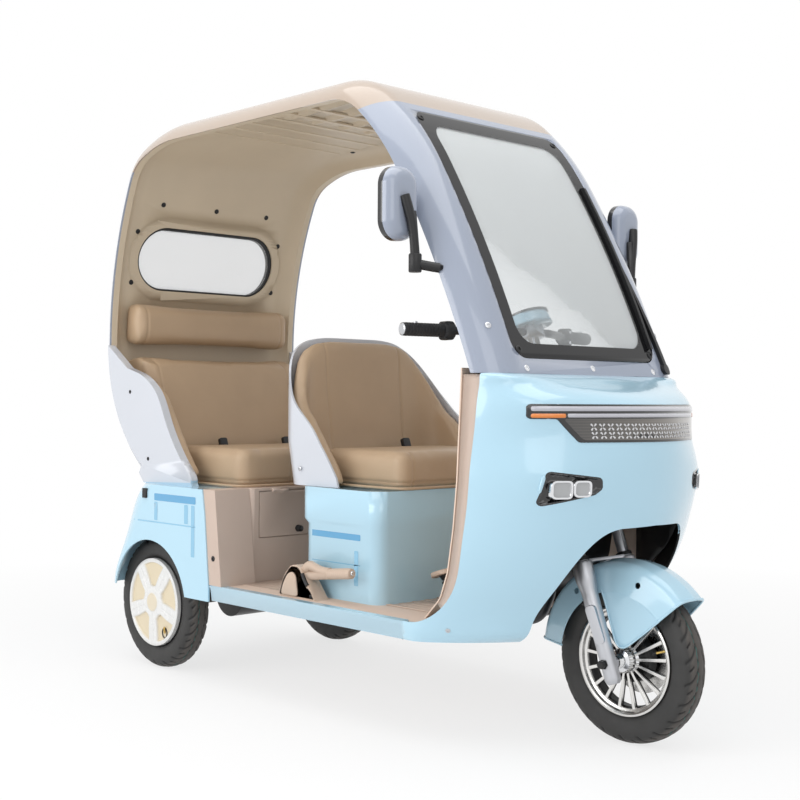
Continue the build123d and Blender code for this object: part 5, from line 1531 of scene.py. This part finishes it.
# seat buckles
buckle = blockOf(boxOutline(0, 0, 0.030, 0.052, 0.008), 0.014, 0.004)
buckleUp = Vector((1, 0, 0.35)).normalized()
for name, node, x, y, z in (
    ("buckleRear", "rear_cushion", -0.050, 0.170, 0.700),
    ("buckleRearB", "rear_cushion", -0.050, -0.100, 0.700),
    ("buckleDriver", "driver_cushion", 0.622, 0.110, 0.714),
):
    studs(name, [(ahead(x, y, z), buckleUp, (0, 1, 0))], buckle, "blackPlastic", nodeBody[node])
print("small parts set")

# light and stage
stageSet = {"floorReach": 14.0, "clearFrom": 1.5, "clearTo": 3.4, "world": 0.58}


def makeLight(name, spot, aim, size, power):
    data = bpy.data.lights.new(name, "AREA")
    data.shape = "RECTANGLE"
    data.size, data.size_y = size
    data.energy = power
    lamp = bpy.data.objects.new(name, data)
    collection.objects.link(lamp)
    turn = (aim - spot).to_track_quat("-Z", "Y").to_matrix().to_4x4()
    lamp.matrix_world = Matrix.Translation(spot) @ turn


makeLight("overhead", ahead(1.2, -0.6, 4.2), ahead(0.8, 0, 0.8), (4.5, 3.0), 78)
makeLight("frontSide", ahead(4.6, -2.2, 2.6), ahead(0.8, 0, 0.8), (2.2, 2.6), 22)
makeLight("rightSide", ahead(-0.2, -4.4, 2.0), ahead(0.6, 0, 0.9), (3.8, 2.4), 76)


def seenShare(tree):
    # 1 where the camera, a reflection or a pane looks, 0 for other light
    rays = tree.nodes.new("ShaderNodeLightPath")
    seen = Wire(tree, rays.outputs["Is Camera Ray"]) + Wire(tree, rays.outputs["Is Glossy Ray"])
    return (seen + Wire(tree, rays.outputs["Is Transmission Ray"])).maths("MINIMUM", 1)


def makeWorld(strength):
    world = bpy.data.worlds.new("studio")
    bpy.context.scene.world = world
    world.use_nodes = True
    tree = world.node_tree
    back = tree.nodes["Background"]
    seen = seenShare(tree)
    back.inputs["Color"].default_value = (1, 1, 1, 1)
    tree.links.new((seen * (1 - strength) + strength).socket, back.inputs["Strength"])


makeWorld(stageSet["world"])


def makeFloor(s):
    finish = Finish("studioFloor", Base_Color=(0.93, 0.93, 0.93), Roughness=0.9)
    x, y = finish.axes("XY")
    distance = (x * x + y * y).maths("SQRT")
    clear = distance.over((s["clearFrom"] + s["clearTo"]) / 2, s["clearTo"] - s["clearFrom"])
    glow = finish.node("ShaderNodeEmission", Color=(1.0, 1.0, 1.0), Strength=1.0)
    share = seenShare(finish.tree) * (clear * 0.26 + 0.74)
    finish.layer(share, Wire(finish.tree, finish.shader.outputs[0]), glow)
    r = s["floorReach"]
    mesh = gridMesh("floor", [(-r, -r, 0), (r, -r, 0), (r, r, 0), (-r, r, 0)], [(0, 1, 2, 3)])
    mesh.materials.append(finish.material)
    floor = bpy.data.objects.new("floor", mesh)
    collection.objects.link(floor)


makeFloor(stageSet)
print("stage lit")
